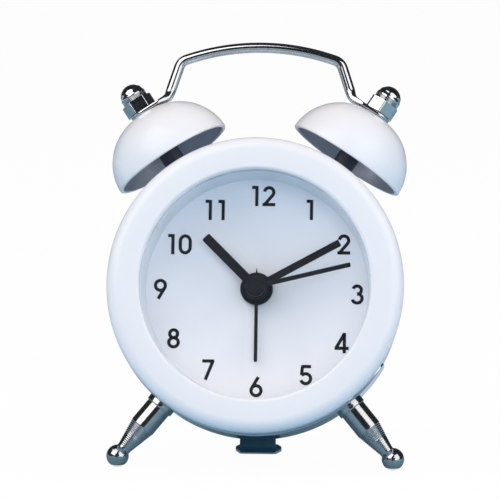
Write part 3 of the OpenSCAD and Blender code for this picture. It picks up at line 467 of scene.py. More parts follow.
def finish_for(name):
    """A named finish, made on its first use; the numbers are its range of roughness and its relief's depth."""
    label = name + "_finish"
    if label in bpy.data.materials:
        return bpy.data.materials[label]
    c = bpy.context.scene.clock_colours
    makers = {
        "white_enamel": lambda: enamel_finish(label, c.enamel, c.enamel_shade),
        "white_plastic": lambda: moulded_finish(label, c.plastic_white, (0.28, 0.38), 2e-6, tone=0.04),
        "recess_white": lambda: enamel_finish(label, c.ring, dimmed(c.ring, 0.05), (0.45, 0.6)),
        "dial_white": lambda: moulded_finish(label, c.dial, (0.5, 0.62), 1.5e-6, scale=5000.0, tone=0.025),
        "bell_lining": lambda: plated_finish(label, c.lining, (0.3, 0.42), 1e-6, metal=0.2),
        "clear_lens": lambda: clear_finish(label),
        "number_paint": lambda: moulded_finish(label, c.print_black, (0.45, 0.6), 1e-6, scale=6000.0, gloss=0.15),
        "black_paint": lambda: moulded_finish(label, c.hand_black, (0.42, 0.58), 2e-6, scale=6000.0, gloss=0.18),
        "black_plastic": lambda: moulded_finish(label, c.plastic_black, (0.4, 0.55), 8e-6),
        "black_sheet": lambda: moulded_finish(label, c.sheet_black, (0.32, 0.45), 4e-6),
        "grey_plastic": lambda: moulded_finish(label, c.plastic_grey, (0.4, 0.52), 4e-6),
        "chrome": lambda: plated_finish(label, c.chrome, (0.05, 0.10), 4e-7),
        "nickel": lambda: plated_finish(label, c.nickel, (0.09, 0.15), 4e-7),
        "brass": lambda: plated_finish(label, c.brass, (0.25, 0.4), 3e-6),
        "copper": lambda: plated_finish(label, c.copper, (0.3, 0.45), 6e-6, scale=900.0, stretch=(1.0, 8.0, 8.0)),
        "board_green": lambda: moulded_finish(label, c.board, (0.3, 0.42), 4e-6),
    }
    return makers[name]()


# Pieces


class CLOCK_OT_case(Operator):
    """Turns the bezel and the drum"""
    bl_idname = "clock.case"
    bl_label = "Case"

    def execute(self, context):
        z = context.scene.clock_sizes
        skirt, wall = z.bezel_depth, 0.8 * MM
        inner, outer = z.lens_r + 0.05 * MM, z.lens_r + 0.75 * MM
        bezel = eased(
            [(z.opening_r, -LENS_FACE), (z.opening_r, 0), (z.bezel_r, 0), (z.bezel_r, -skirt), (z.drum_r, -skirt),
             (z.drum_r, -DRUM_FACE), (outer, -DRUM_FACE), (outer, -SPIGOT_END), (inner, -SPIGOT_END),
             (inner, -LENS_FACE)],
            [0.15 * MM, z.lip_round, z.edge_round, *mm(0.3, 0.1, 0, 0, 0.1, 0.1, 0)], steps=10)
        add_piece("bezel_dressed", [lathe(bezel, dial_spot(), z.around)], "white_enamel", ["bezel"])
        bore = z.drum_r - wall
        drum = eased([(z.drum_r, -DRUM_FACE), (z.drum_r, -z.drum_back), (bore, -z.drum_back), (bore, -DRUM_FACE)],
                     mm(0, 0.25, 0, 0))
        add_piece("drum_dressed", [lathe(drum, dial_spot(), z.around)], "white_enamel", ["case_drum"])
        return {"FINISHED"}


class CLOCK_OT_window(Operator):
    """Turns the clear window behind the bezel's lip"""
    bl_idname = "clock.window"
    bl_label = "Window"

    def execute(self, context):
        z = context.scene.clock_sizes
        pane = eased([(0, -LENS_FACE), (z.lens_r, -LENS_FACE), (z.lens_r, -LENS_BACK), (0, -LENS_BACK)],
                     mm(0, 0.15, 0.15, 0), steps=4)
        add_piece("lens_dressed", [lathe(pane, dial_spot(), z.around, closed=False)], "clear_lens", ["lens"])
        return {"FINISHED"}


def straight(first, last, steps=8):
    """An open stroke from one point to another."""
    return np.linspace(first, last, steps), False


def bowed(*curve):
    """An open stroke along an ellipse's arc."""
    return arc(*curve), False


def looped(x, y, radius_x, radius_y):
    """A closed stroke round an ellipse."""
    return arc(x, y, radius_x, radius_y, 0, 360, 49)[:-1], True


def digit_strokes(digit):
    """Centre lines of a digit one unit high and upright about x = 0, each with whether it closes on itself."""
    oval = [arc(0, 0.645, 0.2425, 0.2725, 0, 180), arc(0, 0.355, 0.2425, 0.2725, 180, 360)]
    crook = arc(0, 0.69, 0.2275, 0.2275, 172, -38)
    slope = np.linspace(crook[-1], [-0.215, 0.0825], 8)[1:]
    bowl, stem = looped(0, 0.325, 0.2425, 0.2425), straight([-0.21, 0.446], [0.105, 0.99])
    return {
        0: [(np.concatenate(oval), True)],
        1: [straight([0.09, 0], [0.09, 1]), straight([-0.15, 0.9275], [0.05, 0.9275], 4)],
        2: [(np.concatenate([crook, slope]), False), straight([-0.32, 0.0825], [0.31, 0.0825], 6)],
        3: [bowed(0, 0.715, 0.205, 0.2025, 162, -90), bowed(0, 0.31, 0.2425, 0.2275, 90, -165)],
        4: [straight([0.13, 0], [0.13, 1]), straight([0.12, 0.94], [-0.27, 0.26]),
            straight([-0.34, 0.2425], [0.34, 0.2425])],
        5: [straight([-0.17, 0.9175], [0.26, 0.9175], 6), straight([-0.15, 0.96], [-0.205, 0.5], 6),
            bowed(0, 0.325, 0.2425, 0.2425, 142, -162)],
        6: [bowl, stem],
        7: [straight([-0.29, 0.9175], [0.29, 0.9175], 6), straight([0.235, 0.93], [-0.13, 0])],
        8: [looped(0, 0.725, 0.1925, 0.1925), looped(0, 0.305, 0.2325, 0.2225)],
        9: [([0, 1] - line, closed) for line, closed in (bowl, stem)],
    }[digit]


# The digits of each number, with the place of each along it in heights of a number
NUMBERS = {n: [(n, 0.0)] for n in range(1, 10)} | {
    10: [(1, -0.436), (0, 0.2615)], 11: [(1, -0.3275), (1, 0.305)], 12: [(1, -0.426), (2, 0.2665)]}

# How far the print of each number lies off its even place on the ring, to the right and upwards, in millimetres
PRINT_SHIFTS = {1: (-0.08, -0.07), 2: (-0.04, 0.16), 3: (0.28, -0.22), 4: (0.05, -0.42), 5: (0.10, -0.02),
                6: (-0.10, -0.11), 7: (-0.17, 0.51), 8: (-0.27, -0.41), 9: (-0.67, -0.16), 10: (0.31, -0.65),
                11: (0.13, -0.56), 12: (0.20, -0.08)}


class CLOCK_OT_dial(Operator):
    """Turns the recess and the dial, and lays the upright numbers on it"""
    bl_idname = "clock.dial"
    bl_label = "Dial"

    def execute(self, context):
        z = context.scene.clock_sizes
        face = -z.dial_depth
        wall = eased(
            [(z.opening_r, -LENS_BACK), (z.lens_r, -LENS_BACK), (z.lens_r, -RING_FOOT), (z.dial_r, -RING_FOOT),
             (z.dial_r, face), (z.opening_r - 0.5 * MM, face)], mm(0.1, 0.1, 0, 0.1, 0, 0), steps=5)
        add_piece("dial_ring_dressed", [lathe(wall, dial_spot(), z.around)], "white_plastic", ["dial_ring"],
                  finishes=["recess_white"])
        rear, hole = face - 0.6 * MM, 2.4 * MM
        disc = eased([(hole, face), (z.dial_r, face), (z.dial_r, rear), (hole, rear)], mm(0.05, 0, 0, 0), steps=4)
        add_piece("dial_dressed", [lathe(disc, dial_spot(), z.around)], "dial_white", ["dial"])
        sunk = face - 0.02 * MM
        strokes = []
        for number, digits in NUMBERS.items():
            turn = 2 * np.pi * number / 12 + z.number_turn
            middle = np.array([z.number_ring_x + z.number_ring_r * np.sin(turn),
                               z.number_ring_y + z.number_ring_r * np.cos(turn)])
            middle = middle + mm(*PRINT_SHIFTS[number])
            for digit, along in digits:
                for path, closed in digit_strokes(digit):
                    line = middle + (path + [along, -0.5]) * z.number_h
                    rings = stroke(line, z.number_w, sunk, face + z.number_t, closed)
                    strokes.append(Sheet(put(rings, dial_spot()), closed, True))
        add_piece("dial_numbers", strokes, "black_paint", finishes=["number_paint"])
        return {"FINISHED"}


def hand_bar(reach, width, thick, top, turn, corner, tail):
    """A straight bar along its own y: half width w/2, drawn in along a quarter circle over the corner at the tip, its
    top edges bevelled, with a pointed tail if it has one; turned clockwise from 12."""
    shoulder, point, root, edge = reach - corner, 0.04 * MM, 0.02 * MM, 0.09 * MM
    s = np.concatenate([[0.0], np.linspace(0.2, 0.95, 6) * shoulder,
                        shoulder + corner * np.sin(np.linspace(0, 0.5 * np.pi, 8))])
    past = np.clip(s - shoulder, 0, corner)
    half = width / 2 - corner + np.sqrt(np.maximum(corner ** 2 - past ** 2, 0))
    if tail:
        s = np.concatenate([[-tail, 0.0, root], s[1:]])
        half = np.concatenate([[point, width, width / 2], half[1:]])
    bevel = np.minimum(edge, 0.6 * half)
    x = np.stack([-half, -half, -half + bevel, half - bevel, half, half], 1)
    flat = np.zeros_like(half)
    drop = np.stack([flat - thick, -bevel, flat, flat, -bevel, flat - thick], 1)
    rings = capped(np.stack([x, np.broadcast_to(s[:, None], x.shape), top + drop], -1))
    c, d = np.cos(turn), np.sin(turn)
    return Sheet(put(rings @ np.array([[c, -d, 0], [d, c, 0], [0, 0, 1]]), dial_spot()), False, True)


class CLOCK_OT_hands(Operator):
    """Makes the four black hands with their stepped collars"""
    bl_idname = "clock.hands"
    bl_label = "Hands"

    def execute(self, context):
        z = context.scene.clock_sizes
        # node, body, clockwise turn, then reach, width, top, collar radius, bore, tip corner and tail in millimetres
        hands = [
            ("alarm_hand", "alarm", 180.0, (14.0, 0.65, -9.2, 3.1, 2.1, 0.32, 3.9)),
            ("hour_hand", "hours", 314.7, (13.8, 1.8, -7.9, 2.45, 1.55, 0.25, 0.0)),
            ("minute_hand", "minutes", 61.2, (18.0, 1.35, -6.6, 2.1, 1.0, 0.22, 0.0)),
            ("second_hand", "seconds", 76.3, (18.4, 0.85, -5.3, 1.9, 0.0, 0.12, 0.0)),
        ]
        cap_rise, dish = 0.5 * MM, 0.06 * MM
        for hand, body, turn, sizes in hands:
            reach, width, high, hub_r, bore, corner, tail = mm(*sizes)
            bar = hand_bar(reach, width, z.hand_t, high, np.radians(turn), corner, tail)
            low = high - z.hub_t
            if bore:
                collar = eased([(bore, low), (hub_r, low), (hub_r, high), (bore, high)], mm(0, 0.1, 0.16, 0), steps=5)
            else:
                cap = high + cap_rise
                collar = eased([(0, low), (hub_r, low), (hub_r, cap), (0.75 * hub_r, cap), (0.7 * hub_r, cap - dish),
                                (0, cap - dish)], mm(0, 0.1, 0.22, 0.02, 0.02, 0), steps=5)
            turned = lathe(collar, dial_spot(), around=72, closed=bool(bore))
            add_piece(hand + "_dressed", [bar, turned], "black_paint", [hand], body)
        return {"FINISHED"}


def bell_seat(z):
    """How far the top of a bell lies from the dial's axis."""
    short = max(z.bell_hole_r - z.bell_rim_r + z.bell_h, 0)
    return z.bell_rim_at + np.sqrt(z.bell_h ** 2 - short ** 2)


class CLOCK_OT_bells(Operator):
    """Turns the two bells, white outside and bare grey inside, and their dark posts"""
    bl_idname = "clock.bells"
    bl_label = "Bells"

    def execute(self, context):
        z = context.scene.clock_sizes
        arc_at, inner_r = z.bell_rim_r - z.bell_h, z.bell_h - z.bell_wall
        top_out = np.degrees(np.arccos((z.bell_hole_r - arc_at) / z.bell_h))
        top_in = np.degrees(np.arccos((z.bell_hole_r - arc_at) / inner_r))
        lip_turn, bare_lip = 1.6, 6
        outside = arc(arc_at, 0, z.bell_h, z.bell_h, lip_turn, top_out, 56)
        inside = arc(arc_at, 0, inner_r, inner_r, top_in, lip_turn, 48)
        low_in, low_out = inside[-1], outside[0]
        lip = eased([low_in, [low_in[0] + 0.05 * MM, 0], [low_out[0] - 0.02 * MM, 0], low_out],
                    mm(0, 0.25, 0.25, 0), closed=False)[1:-1]
        loop = np.concatenate([outside, inside, lip])
        bare = np.zeros(len(loop), int)
        bare[len(outside):len(outside) + len(inside) + bare_lip] = 1
        post_low = z.drum_r - 0.1 * MM
        post_top = z.bell_rim_at + np.sqrt(inner_r ** 2 - (z.post_r - arc_at) ** 2)
        post = eased([(0, post_low), (z.post_r, post_low), (z.post_r, post_top), (0, post_top)],
                     mm(0, 0.1, 0.15, 0), steps=4)
        for side, sign in SIDES:
            spot = radial_spot(sign * z.bell_turn, z.bell_back)
            bell = lathe(loop + [0, z.bell_rim_at], spot, z.around, finish=bare)
            add_piece(side + "_bell_dressed", [bell], "white_enamel", [side + "_bell"],
                      finishes=["white_enamel", "bell_lining"], sharp=50.0)
            add_piece(side + "_post_dressed", [lathe(post, spot, around=64, closed=False)], "black_plastic",
                      [side + "_bell_post"])
        return {"FINISHED"}


class CLOCK_OT_cap_nuts(Operator):
    """Forms the two chrome cap nuts: a chamfered hexagon under a ridged dome"""
    bl_idname = "clock.cap_nuts"
    bl_label = "Cap nuts"

    def execute(self, context):
        z = context.scene.clock_sizes
        turn = turns(180)
        flat = z.nut_af / 2
        hexagon = flat / np.cos(np.mod(turn, np.pi / 3) - np.pi / 6)
        corner = flat / np.cos(np.pi / 6)
        # radius = the smaller of the hexagon and a turned cone that takes its corners off, then the dome
        cone_slope, cone_share = 1.25, 0.55
        soft, sunk, ridge, fine_ridge = mm(0.12, 0.09, 0.05, 0.045)
        ridges, fine_ridges = 3, 14.0
        side_h = np.concatenate([[0.0], np.linspace(0.08, 1.0, 26)]) * z.nut_hex_h
        left = cone_share * z.nut_hex_h - np.abs(side_h - 0.5 * z.nut_hex_h)
        cone = np.minimum(corner + left * cone_slope, corner)
        sides = -soft * np.log(np.exp(-hexagon / soft) + np.exp(-cone / soft))
        shoulder = z.nut_h - z.nut_dome_r
        base_r = z.nut_dome_r - sunk
        lower_h = np.linspace(z.nut_hex_h, shoulder, 30)
        lower_r = base_r + ridge * np.sin((lower_h - z.nut_hex_h) / (shoulder - z.nut_hex_h) * ridges * 2 * np.pi)
        rise = np.linspace(0, 0.5 * np.pi, 60)
        fade = fine_ridge * np.sin(rise * fine_ridges) * (1 - smooth(rise, 0.75, 1.15))
        dome_r = (base_r + fade) * np.cos(rise)
        dome_h = shoulder + z.nut_dome_r * np.sin(rise)
        dome_r[-1] = 0
        one = np.ones_like(turn)
        radius = np.concatenate([0 * one, sides, one * lower_r, one * dome_r], 1)
        height = np.concatenate([[0.0], side_h, lower_h, dome_h])
        points = spun(radius, height, turn) + [0, 0, bell_seat(z) + z.tab_t]
        # the right nut came to rest with an edge to the front
        c, s = np.cos(np.pi / 6), np.sin(np.pi / 6)
        turned = points @ np.array([[c, s, 0], [-s, c, 0], [0, 0, 1]])
        nuts = [Sheet(put(shape, radial_spot(sign * z.bell_turn, z.bell_back)), True, False)
                for shape, (_, sign) in zip((points, turned), SIDES)]
        add_piece("cap_nuts_dressed", nuts, "chrome", ["cap_nuts"], sharp=50.0)
        return {"FINISHED"}


class CLOCK_OT_handle(Operator):
    """Bends the chrome handle from one rod, pressed flat at both ends"""
    bl_idname = "clock.handle"
    bl_label = "Handle"

    def execute(self, context):
        z = context.scene.clock_sizes
        out = np.array([np.sin(z.bell_turn), np.cos(z.bell_turn)])
        inward = np.array([-out[1], out[0]])
        seat, half_tab = bell_seat(z), z.tab_w / 2
        stud = out * (seat + z.tab_t / 2)
        end = stud - inward * half_tab
        foot = out * (seat + z.tab_t) + inward * z.tab_reach
        slope = z.handle_slope
        up, aside = np.array([-np.sin(slope), np.cos(slope)]), np.array([-np.cos(slope), -np.sin(slope)])
        reach, _ = np.linalg.solve(np.stack([inward, -up], 1), foot - stud)
        corner = stud + inward * reach
        # the bend's middle: up the rod until it is the two radii's difference away from the arch's middle
        bend_r, arch_r = z.handle_bend_r, z.handle_arch_r
        arch_y = z.handle_top - arch_r
        start = foot + aside * bend_r - [0, arch_y]
        rise = np.sqrt((start @ up) ** 2 - start @ start + (arch_r - bend_r) ** 2) - start @ up
        shoulder = foot + aside * bend_r + up * rise
        arch_end = 90.0 - np.degrees(np.arctan2(shoulder[0], shoulder[1] - arch_y))
        foot_bend_r, flat_to, round_from = mm(2.2, 5.6, 10.2)
        low = eased([end, corner, shoulder - bend_r * aside], [0, foot_bend_r, 0], steps=14, closed=False)
        bend = arc(*shoulder, bend_r, bend_r, np.degrees(slope), arch_end, 16)
        arch = arc(0, arch_y, arch_r, arch_r, arch_end, 90.0, 40)
        half = np.concatenate([low[:-1], bend[:-1], arch])
        line = np.concatenate([half, (half * [-1, 1])[-2::-1]])
        # evenly spaced along its own length, with more points at the rounded ends
        run = run_along(line)
        total = run[-1]
        round_end = half_tab * (1 - np.cos(np.linspace(0.08, 0.5 * np.pi, 14)))
        s = np.concatenate([round_end, np.linspace(half_tab, total - half_tab, 420)[1:-1], total - round_end[::-1]])
        path = np.stack([np.interp(s, run, line[:, 0]), np.interp(s, run, line[:, 1]),
                         np.full_like(s, -z.bell_back)], -1)
        near = np.minimum(s, total - s)
        rounding = np.sqrt(np.clip(1 - (1 - near / half_tab) ** 2, 0, 1))
        rounding = np.where(near < half_tab, rounding, 1.0)
        # from a flat, square-edged tab to the round rod
        square, circle = 7.0, 2.0
        formed = smooth(near, flat_to, round_from)
        half_w = (half_tab * (1 - formed) + z.rod_r * formed) * rounding
        half_t = z.tab_t / 2 * (1 - formed) + z.rod_r * formed
        rings = swept(path, Z_AXIS, half_w, half_t, square * (1 - formed) + circle * formed)
        add_piece("handle_dressed", [Sheet(put(rings, dial_spot()), False, True)], "chrome", ["handle"], sharp=60.0)
        return {"FINISHED"}


class CLOCK_OT_legs(Operator):
    """Turns the two legs with their ball feet and bends the strap between them"""
    bl_idname = "clock.legs"
    bl_label = "Legs and strap"

    def execute(self, context):
        z = context.scene.clock_sizes
        strap_r = z.drum_r + z.strap_t
        barrel, taper, neck = strap_r + 1.0 * MM, strap_r + 5.8 * MM, strap_r + 11.4 * MM
        ball = neck + np.sqrt(z.ball_r ** 2 - z.neck_r ** 2)
        seat, collar_r = strap_r - 0.15 * MM, z.leg_r + 0.3 * MM
        collar = eased([(0, seat), (collar_r, seat), (collar_r, barrel), (z.leg_r, barrel)], mm(0, 0.05, 0.25, 0),
                       steps=5, closed=False)
        shaft = np.stack([np.full(12, z.leg_r), np.linspace(barrel + 0.1 * MM, taper - 0.15 * MM, 12)], -1)
        # the taper carries fine turned rings near its wide end, fading along it, on a slightly sunk ground
        t = np.linspace(0, 1, 130)
        ring_depth, ring_count, sunk = 0.055 * MM, 15, 0.05 * MM
        rings = ring_depth * np.sin(t * ring_count * 2 * np.pi) * smooth(t, 0.0, 0.06)
        rings = rings * (1 - 0.75 * smooth(t, 0.3, 0.62)) * (1 - smooth(t, 0.88, 1.0))
        rings = rings - sunk * smooth(t, 0.0, 0.05) * (1 - smooth(t, 0.9, 1.0))
        slope = np.stack([z.leg_r + (z.neck_r - z.leg_r) * t + rings, taper + (neck - taper) * t], -1)
        # the ball carries two shallow grooves, each a bell curve: its depth as a share, its angle and its width
        start, steps = -np.degrees(np.arccos(z.neck_r / z.ball_r)), 60
        globe = arc(0, ball, z.ball_r, z.ball_r, start, 90, steps)
        turn = np.radians(np.linspace(start, 90, steps))
        left = np.ones(steps)
        for depth, at, wide in ((0.012, 0.05, 0.05), (0.008, -0.3, 0.04)):
            left = left - depth * np.exp(-((turn - at) / wide) ** 2)
        globe = np.stack([globe[:, 0] * left, ball + (globe[:, 1] - ball) * left], -1)
        globe[-1, 0] = 0
        profile = np.concatenate([collar, shaft, slope, globe[1:]])
        for side, sign in SIDES:
            leg = lathe(profile, radial_spot(np.pi - sign * z.leg_turn, z.leg_back), around=96, closed=False)
            add_piece(side + "_leg_dressed", [leg], "nickel", [side + "_leg"], sharp=40.0)
        # the strap narrows along a quarter ellipse towards its ends, to a share of its width
        narrow, wider = 0.72, 0.28
        half, end = z.leg_turn + z.strap_past, z.strap_w / 2
        turn = np.linspace(-half, half, 160)
        near = np.clip((half * z.drum_r - np.abs(turn) * z.drum_r) / (0.5 * end), 0, 1)
        half_w = end * (narrow + wider * np.sqrt(1 - (1 - near) ** 2))
        radius = z.drum_r + z.strap_t / 2
        path = np.stack([radius * np.sin(turn), -radius * np.cos(turn), np.full_like(turn, -z.leg_back)], -1)
        band = swept(path, Z_AXIS, half_w, z.strap_t / 2, degree=9.0)
        add_piece("strap_dressed", [Sheet(put(band, dial_spot()), False, True)], "chrome", ["leg_strap"], sharp=60.0)
        return {"FINISHED"}


class CLOCK_OT_rear_foot(Operator):
    """Bends the rear foot from sheet: an upright on the cover and a round-ended sole on the ground"""
    bl_idname = "clock.rear_foot"
    bl_label = "Rear foot"

    def execute(self, context):
        z = context.scene.clock_sizes
        half_t, half_foot = z.foot_t / 2, z.foot_w / 2
        upright_top, knee_r, corner_w, corner_h = mm(-15.4, 1.3, 0.35, 0.5)
        top = FRONT + np.array([0, upright_top, -COVER_BACK - half_t]) @ DIAL
        down = -DIAL[1]
        knee = top + down * (top[2] - half_t) / -down[2]
        _, box_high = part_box("rear_foot")
        tip = np.array([0, box_high.y, half_t])
        line = eased(np.stack([top, knee, tip])[:, 1:], [0, knee_r, 0], steps=12, closed=False)
        run = run_along(line)
        total = run[-1]
        bent = np.linalg.norm(knee - top)
        round_r = half_foot + z.sole_flare
        sole_end = total - round_r
        tail = sole_end + round_r * np.sin(np.linspace(0, 0.98 * np.pi / 2, 24))
        head = mm(0.0, 0.12, 0.3, 0.6)
        s = np.concatenate([head, np.linspace(head[-1], sole_end, 90)[1:-1], tail])
        path = np.stack([0 * s, np.interp(s, run, line[:, 0]), np.interp(s, run, line[:, 1])], -1)
        # half width = the upright's, less at its top corners, wider along the sole, then a half circle at its end
        flare = half_foot + (round_r - half_foot) * np.clip((s - bent) / (sole_end - bent), 0, 1)
        past = np.clip(s - sole_end, 0, round_r)
        half_w = np.where(past > 0, np.sqrt(np.maximum(round_r ** 2 - past ** 2, 0)), flare)
        half_w = half_w - corner_w * (1 - smooth(s, 0, corner_h))
        rings = swept(path, X_AXIS, half_w, half_t, degree=10.0)
        add_piece("rear_foot_dressed", [Sheet(rings, False, True)], "black_sheet", ["rear_foot"], sharp=60.0)
        return {"FINISHED"}


class CLOCK_OT_knobs(Operator):
    """Forms the two fluted setting knobs at the back"""
    bl_idname = "clock.knobs"
    bl_label = "Setting knobs"

    def execute(self, context):
        z = context.scene.clock_sizes
        turn = turns(256)
        near, far, flutes, flute_depth = -KNOB_FACE, -KNOB_BACK, 16, 0.45 * MM
        # radius = knob less its scooped flutes, drawn in at both edges; the end is slightly dished
        scoop = flute_depth * np.clip(-np.cos(flutes * turn), 0, 1) ** 1.5
        height = np.concatenate([near - mm(0, 0, 0.05, 0.2, 0.35), np.linspace(near - 0.6 * MM, far + 0.6 * MM, 6),
                                 far + mm(0.35, 0.15, 0.04, 0.0)])
        inset = np.concatenate([[z.knob_r], mm(0.35, 0.2, 0.06, 0.0), np.zeros(6), mm(0.05, 0.16, 0.32, 0.5)])
        fluted = np.concatenate([[0.0, 0.0, 0.0, 0.5, 1.0], np.ones(6), [1.0, 0.9, 0.7, 0.5]])
        radius = np.maximum(z.knob_r - inset - fluted * scoop, 0)
        dish_r, dish_h = np.array([0.72, 0.66, 0.3, 0.0]) * z.knob_r, far + mm(0.0, 0.18, 0.24, 0.25)
        radius = np.concatenate([radius, np.broadcast_to(dish_r, (len(turn), len(dish_r)))], 1)
        points = spun(radius, np.concatenate([height, dish_h]), turn)
        for knob, body, x in (("time_knob", "time_setter", -12.0), ("alarm_knob", "alarm_setter", 12.0)):
            add_piece(knob + "_dressed", [Sheet(put(points, dial_spot(x * MM)), True, False)], "black_plastic", [knob],
                      body, sharp=40.0)
        return {"FINISHED"}


def screw_head(x, y, face, radius, thick, shank_r, shank_end):
    """A domed head with a crossed recess: round the axis the recess's edge is the larger of two crossed bars, each
    min(length / cos t, half width / |sin t|); the shank runs on behind."""
    turn = turns(120)
    c, s = np.abs(np.cos(turn)) + 1e-9, np.abs(np.sin(turn)) + 1e-9
    arm, wide, floor_share, floor = 0.62 * radius, 0.13 * radius, 0.85, face - 0.45 * thick
    cross = np.maximum(np.minimum(arm / c, wide / s), np.minimum(arm / s, wide / c))
    one = np.ones_like(turn)
    rise = np.array([0.0, 0.35, 0.6, 0.8, 0.93, 1.0])
    rim_r = radius * np.array([1.0, 1.0, 0.97, 0.9, 0.8, 0.68])
    radii = np.concatenate([0 * one, one * shank_r, one * shank_r, one * rim_r, cross, floor_share * cross, 0 * one], 1)
    heights = np.array([shank_end, shank_end, face, *(face - thick * rise), face - thick, floor, floor])
    return Sheet(put(spun(radii, heights, turn), dial_spot(x, y)), True, False)


class CLOCK_OT_screws(Operator):
    """Makes the long screws of the rear cover and the two screws of the rear foot"""
    bl_idname = "clock.screws"
    bl_label = "Screws"

    def execute(self, context):
        ring_r, foot_low, foot_span = mm(25.2, -27.4, 12.0)
        # face, head radius and thickness, shank radius and end
        long_sizes = -COVER_BACK, *mm(1.5, 0.8, 0.8, -1.4)
        foot_sizes = mm(-26.2, 1.3, 0.6, 0.7, -24.1)
        cover = [screw_head(ring_r * np.sin(t), ring_r * np.cos(t), *long_sizes) for t in np.radians([0, 120, 240])]
        add_piece("cover_screws_dressed", cover, "nickel", ["cover_screws"])
        foot = [screw_head(0.0, foot_low + foot_span * share, *foot_sizes) for share in (0.35, 0.75)]
        add_piece("foot_screws_dressed", foot, "nickel", ["foot_screws"])
        return {"FINISHED"}


class CLOCK_OT_kept_nodes(Operator):
    """Gives the solids that show as they are, inside and at the back, their finishes"""
    bl_idname = "clock.kept_nodes"
    bl_label = "Works and rear cover"

    def execute(self, context):
        slots = {p["node"]: p["material_slot"] for p in frame["record"]["subparts"]}
        for name, solid in frame["nodes"].items():
            if solid.hide_render:
                continue
            solid.data.materials.clear()
            solid.data.materials.append(finish_for(slots[name]))
        return {"FINISHED"}


# Stage


def stage_plane(name, centre, across, upward, finish):
    """A flat grid spanned by two half sides about its centre."""
    steps = np.linspace(-1, 1, 5)
    grid = np.array(centre) + steps[:, None, None] * np.array(across) + steps[None, :, None] * np.array(upward)
    mesh = bpy.data.meshes.new(name)
    corners, _ = Sheet(grid).quads()
    mesh.from_pydata(grid.reshape(-1, 3).tolist(), [], corners.tolist())
    mesh.materials.append(finish)
    plane = bpy.data.objects.new(name, mesh)
    bpy.context.scene.collection.objects.link(plane)
    return plane


def mixed(tree, share, first, last):
    """The blend of two shaders by a share of the last."""
    return node(tree, "ShaderNodeMixShader", share, first, last).outputs["Shader"]


def background_share(tree):
    """1 for rays that show the background: from the camera, from gloss and through clear pieces."""
    path = node(tree, "ShaderNodeLightPath")
    total = path.outputs["Is Camera Ray"]
    for kind in ("Is Glossy Ray", "Is Transmission Ray"):
        larger = node(tree, "ShaderNodeMath", total, path.outputs[kind])
        larger.operation = "MAXIMUM"
        total = larger.outputs["Value"]
    return total


def floor_finish(base, bounce, white=0.965):
    """A pale floor: mostly plain white to the camera, a dull surface that keeps the shadow, and a bluish bounce."""
    finish = bpy.data.materials.new("studio_floor")
    tree = blank(finish)
    where = node(tree, "ShaderNodeTexCoord").outputs["Object"]
    dull, cast = node(tree, "ShaderNodeBsdfDiffuse"), node(tree, "ShaderNodeBsdfDiffuse")
    for shader, shade in ((dull, base), (cast, bounce)):
        between(tree, grain(tree, where, scale=12.0), dimmed(shade, 0.02), shade, shader.inputs["Color"])
    given_back = node(tree, "ShaderNodeLightPath").outputs["Is Diffuse Ray"]
    given = mixed(tree, given_back, dull.outputs["BSDF"], cast.outputs["BSDF"])
    share = node(tree, "ShaderNodeMath", background_share(tree), white)
    share.operation = "MULTIPLY"
    glow = node(tree, "ShaderNodeEmission", Strength=1.0)
    shown = mixed(tree, share.outputs["Value"], given, glow.outputs["Emission"])
    node(tree, "ShaderNodeOutputMaterial", Surface=shown)
    return finish


def glowing_finish(name, tint, strength):
    """A card that glows evenly."""
    finish = bpy.data.materials.new(name)
    tree = blank(finish)
    glow = node(tree, "ShaderNodeEmission", Color=(*tint, 1.0), Strength=strength)
    node(tree, "ShaderNodeOutputMaterial", Surface=glow.outputs["Emission"])
    return finish


def studio_world(scene, level):
    """White where the background shows; on dull surfaces a soft light, white from above and bluish from below."""
    scene.world = bpy.data.worlds.new("studio_world")
    tree = blank(scene.world)
    height = node(tree, "ShaderNodeSeparateXYZ", Vector=node(tree, "ShaderNodeTexCoord").outputs["Generated"])
    risen = node(tree, "ShaderNodeMapRange", Value=height.outputs["Z"], From_Min=-0.5, From_Max=0.6)
    tint = node(tree, "ShaderNodeValToRGB", Fac=risen.outputs["Result"])
    below, above = tint.color_ramp.elements
    below.color, above.color = (0.55, 0.78, 1.0, 1.0), (1.0, 0.975, 0.985, 1.0)
    soft = node(tree, "ShaderNodeBackground", Color=tint.outputs["Color"], Strength=level)
    white = node(tree, "ShaderNodeBackground", Color=(1.0, 1.0, 1.0, 1.0))
    shown = mixed(tree, background_share(tree), soft.outputs["Background"], white.outputs["Background"])
    node(tree, "ShaderNodeOutputWorld", Surface=shown)


# What the lamps aim at and the camera looks at
AIM = np.array([0.0, 0.0, 0.04])


def placed(place, right, up, back):
    """The matrix of a place whose own axes are given."""
    turn = np.eye(4)
    turn[:3] = np.stack([right, up, back, place], 1)
    return Matrix(turn.tolist())


def add_lamp(name, place, watts, size, tint, in_gloss=False):
    """A soft square lamp aimed at the clock; it may be left out of what shiny surfaces mirror."""
    lamp = bpy.data.lights.new(name, "AREA")
    lamp.size = size
    lamp.energy = watts
    lamp.color = tint
    back = np.array(place) - AIM
    back /= np.linalg.norm(back)
    right = np.cross(Z_AXIS, back)
    right /= np.linalg.norm(right)
    holder = bpy.data.objects.new(name, lamp)
    holder.matrix_world = placed(place, right, np.cross(back, right), back)
    holder.visible_glossy = in_gloss
    bpy.context.scene.collection.objects.link(holder)


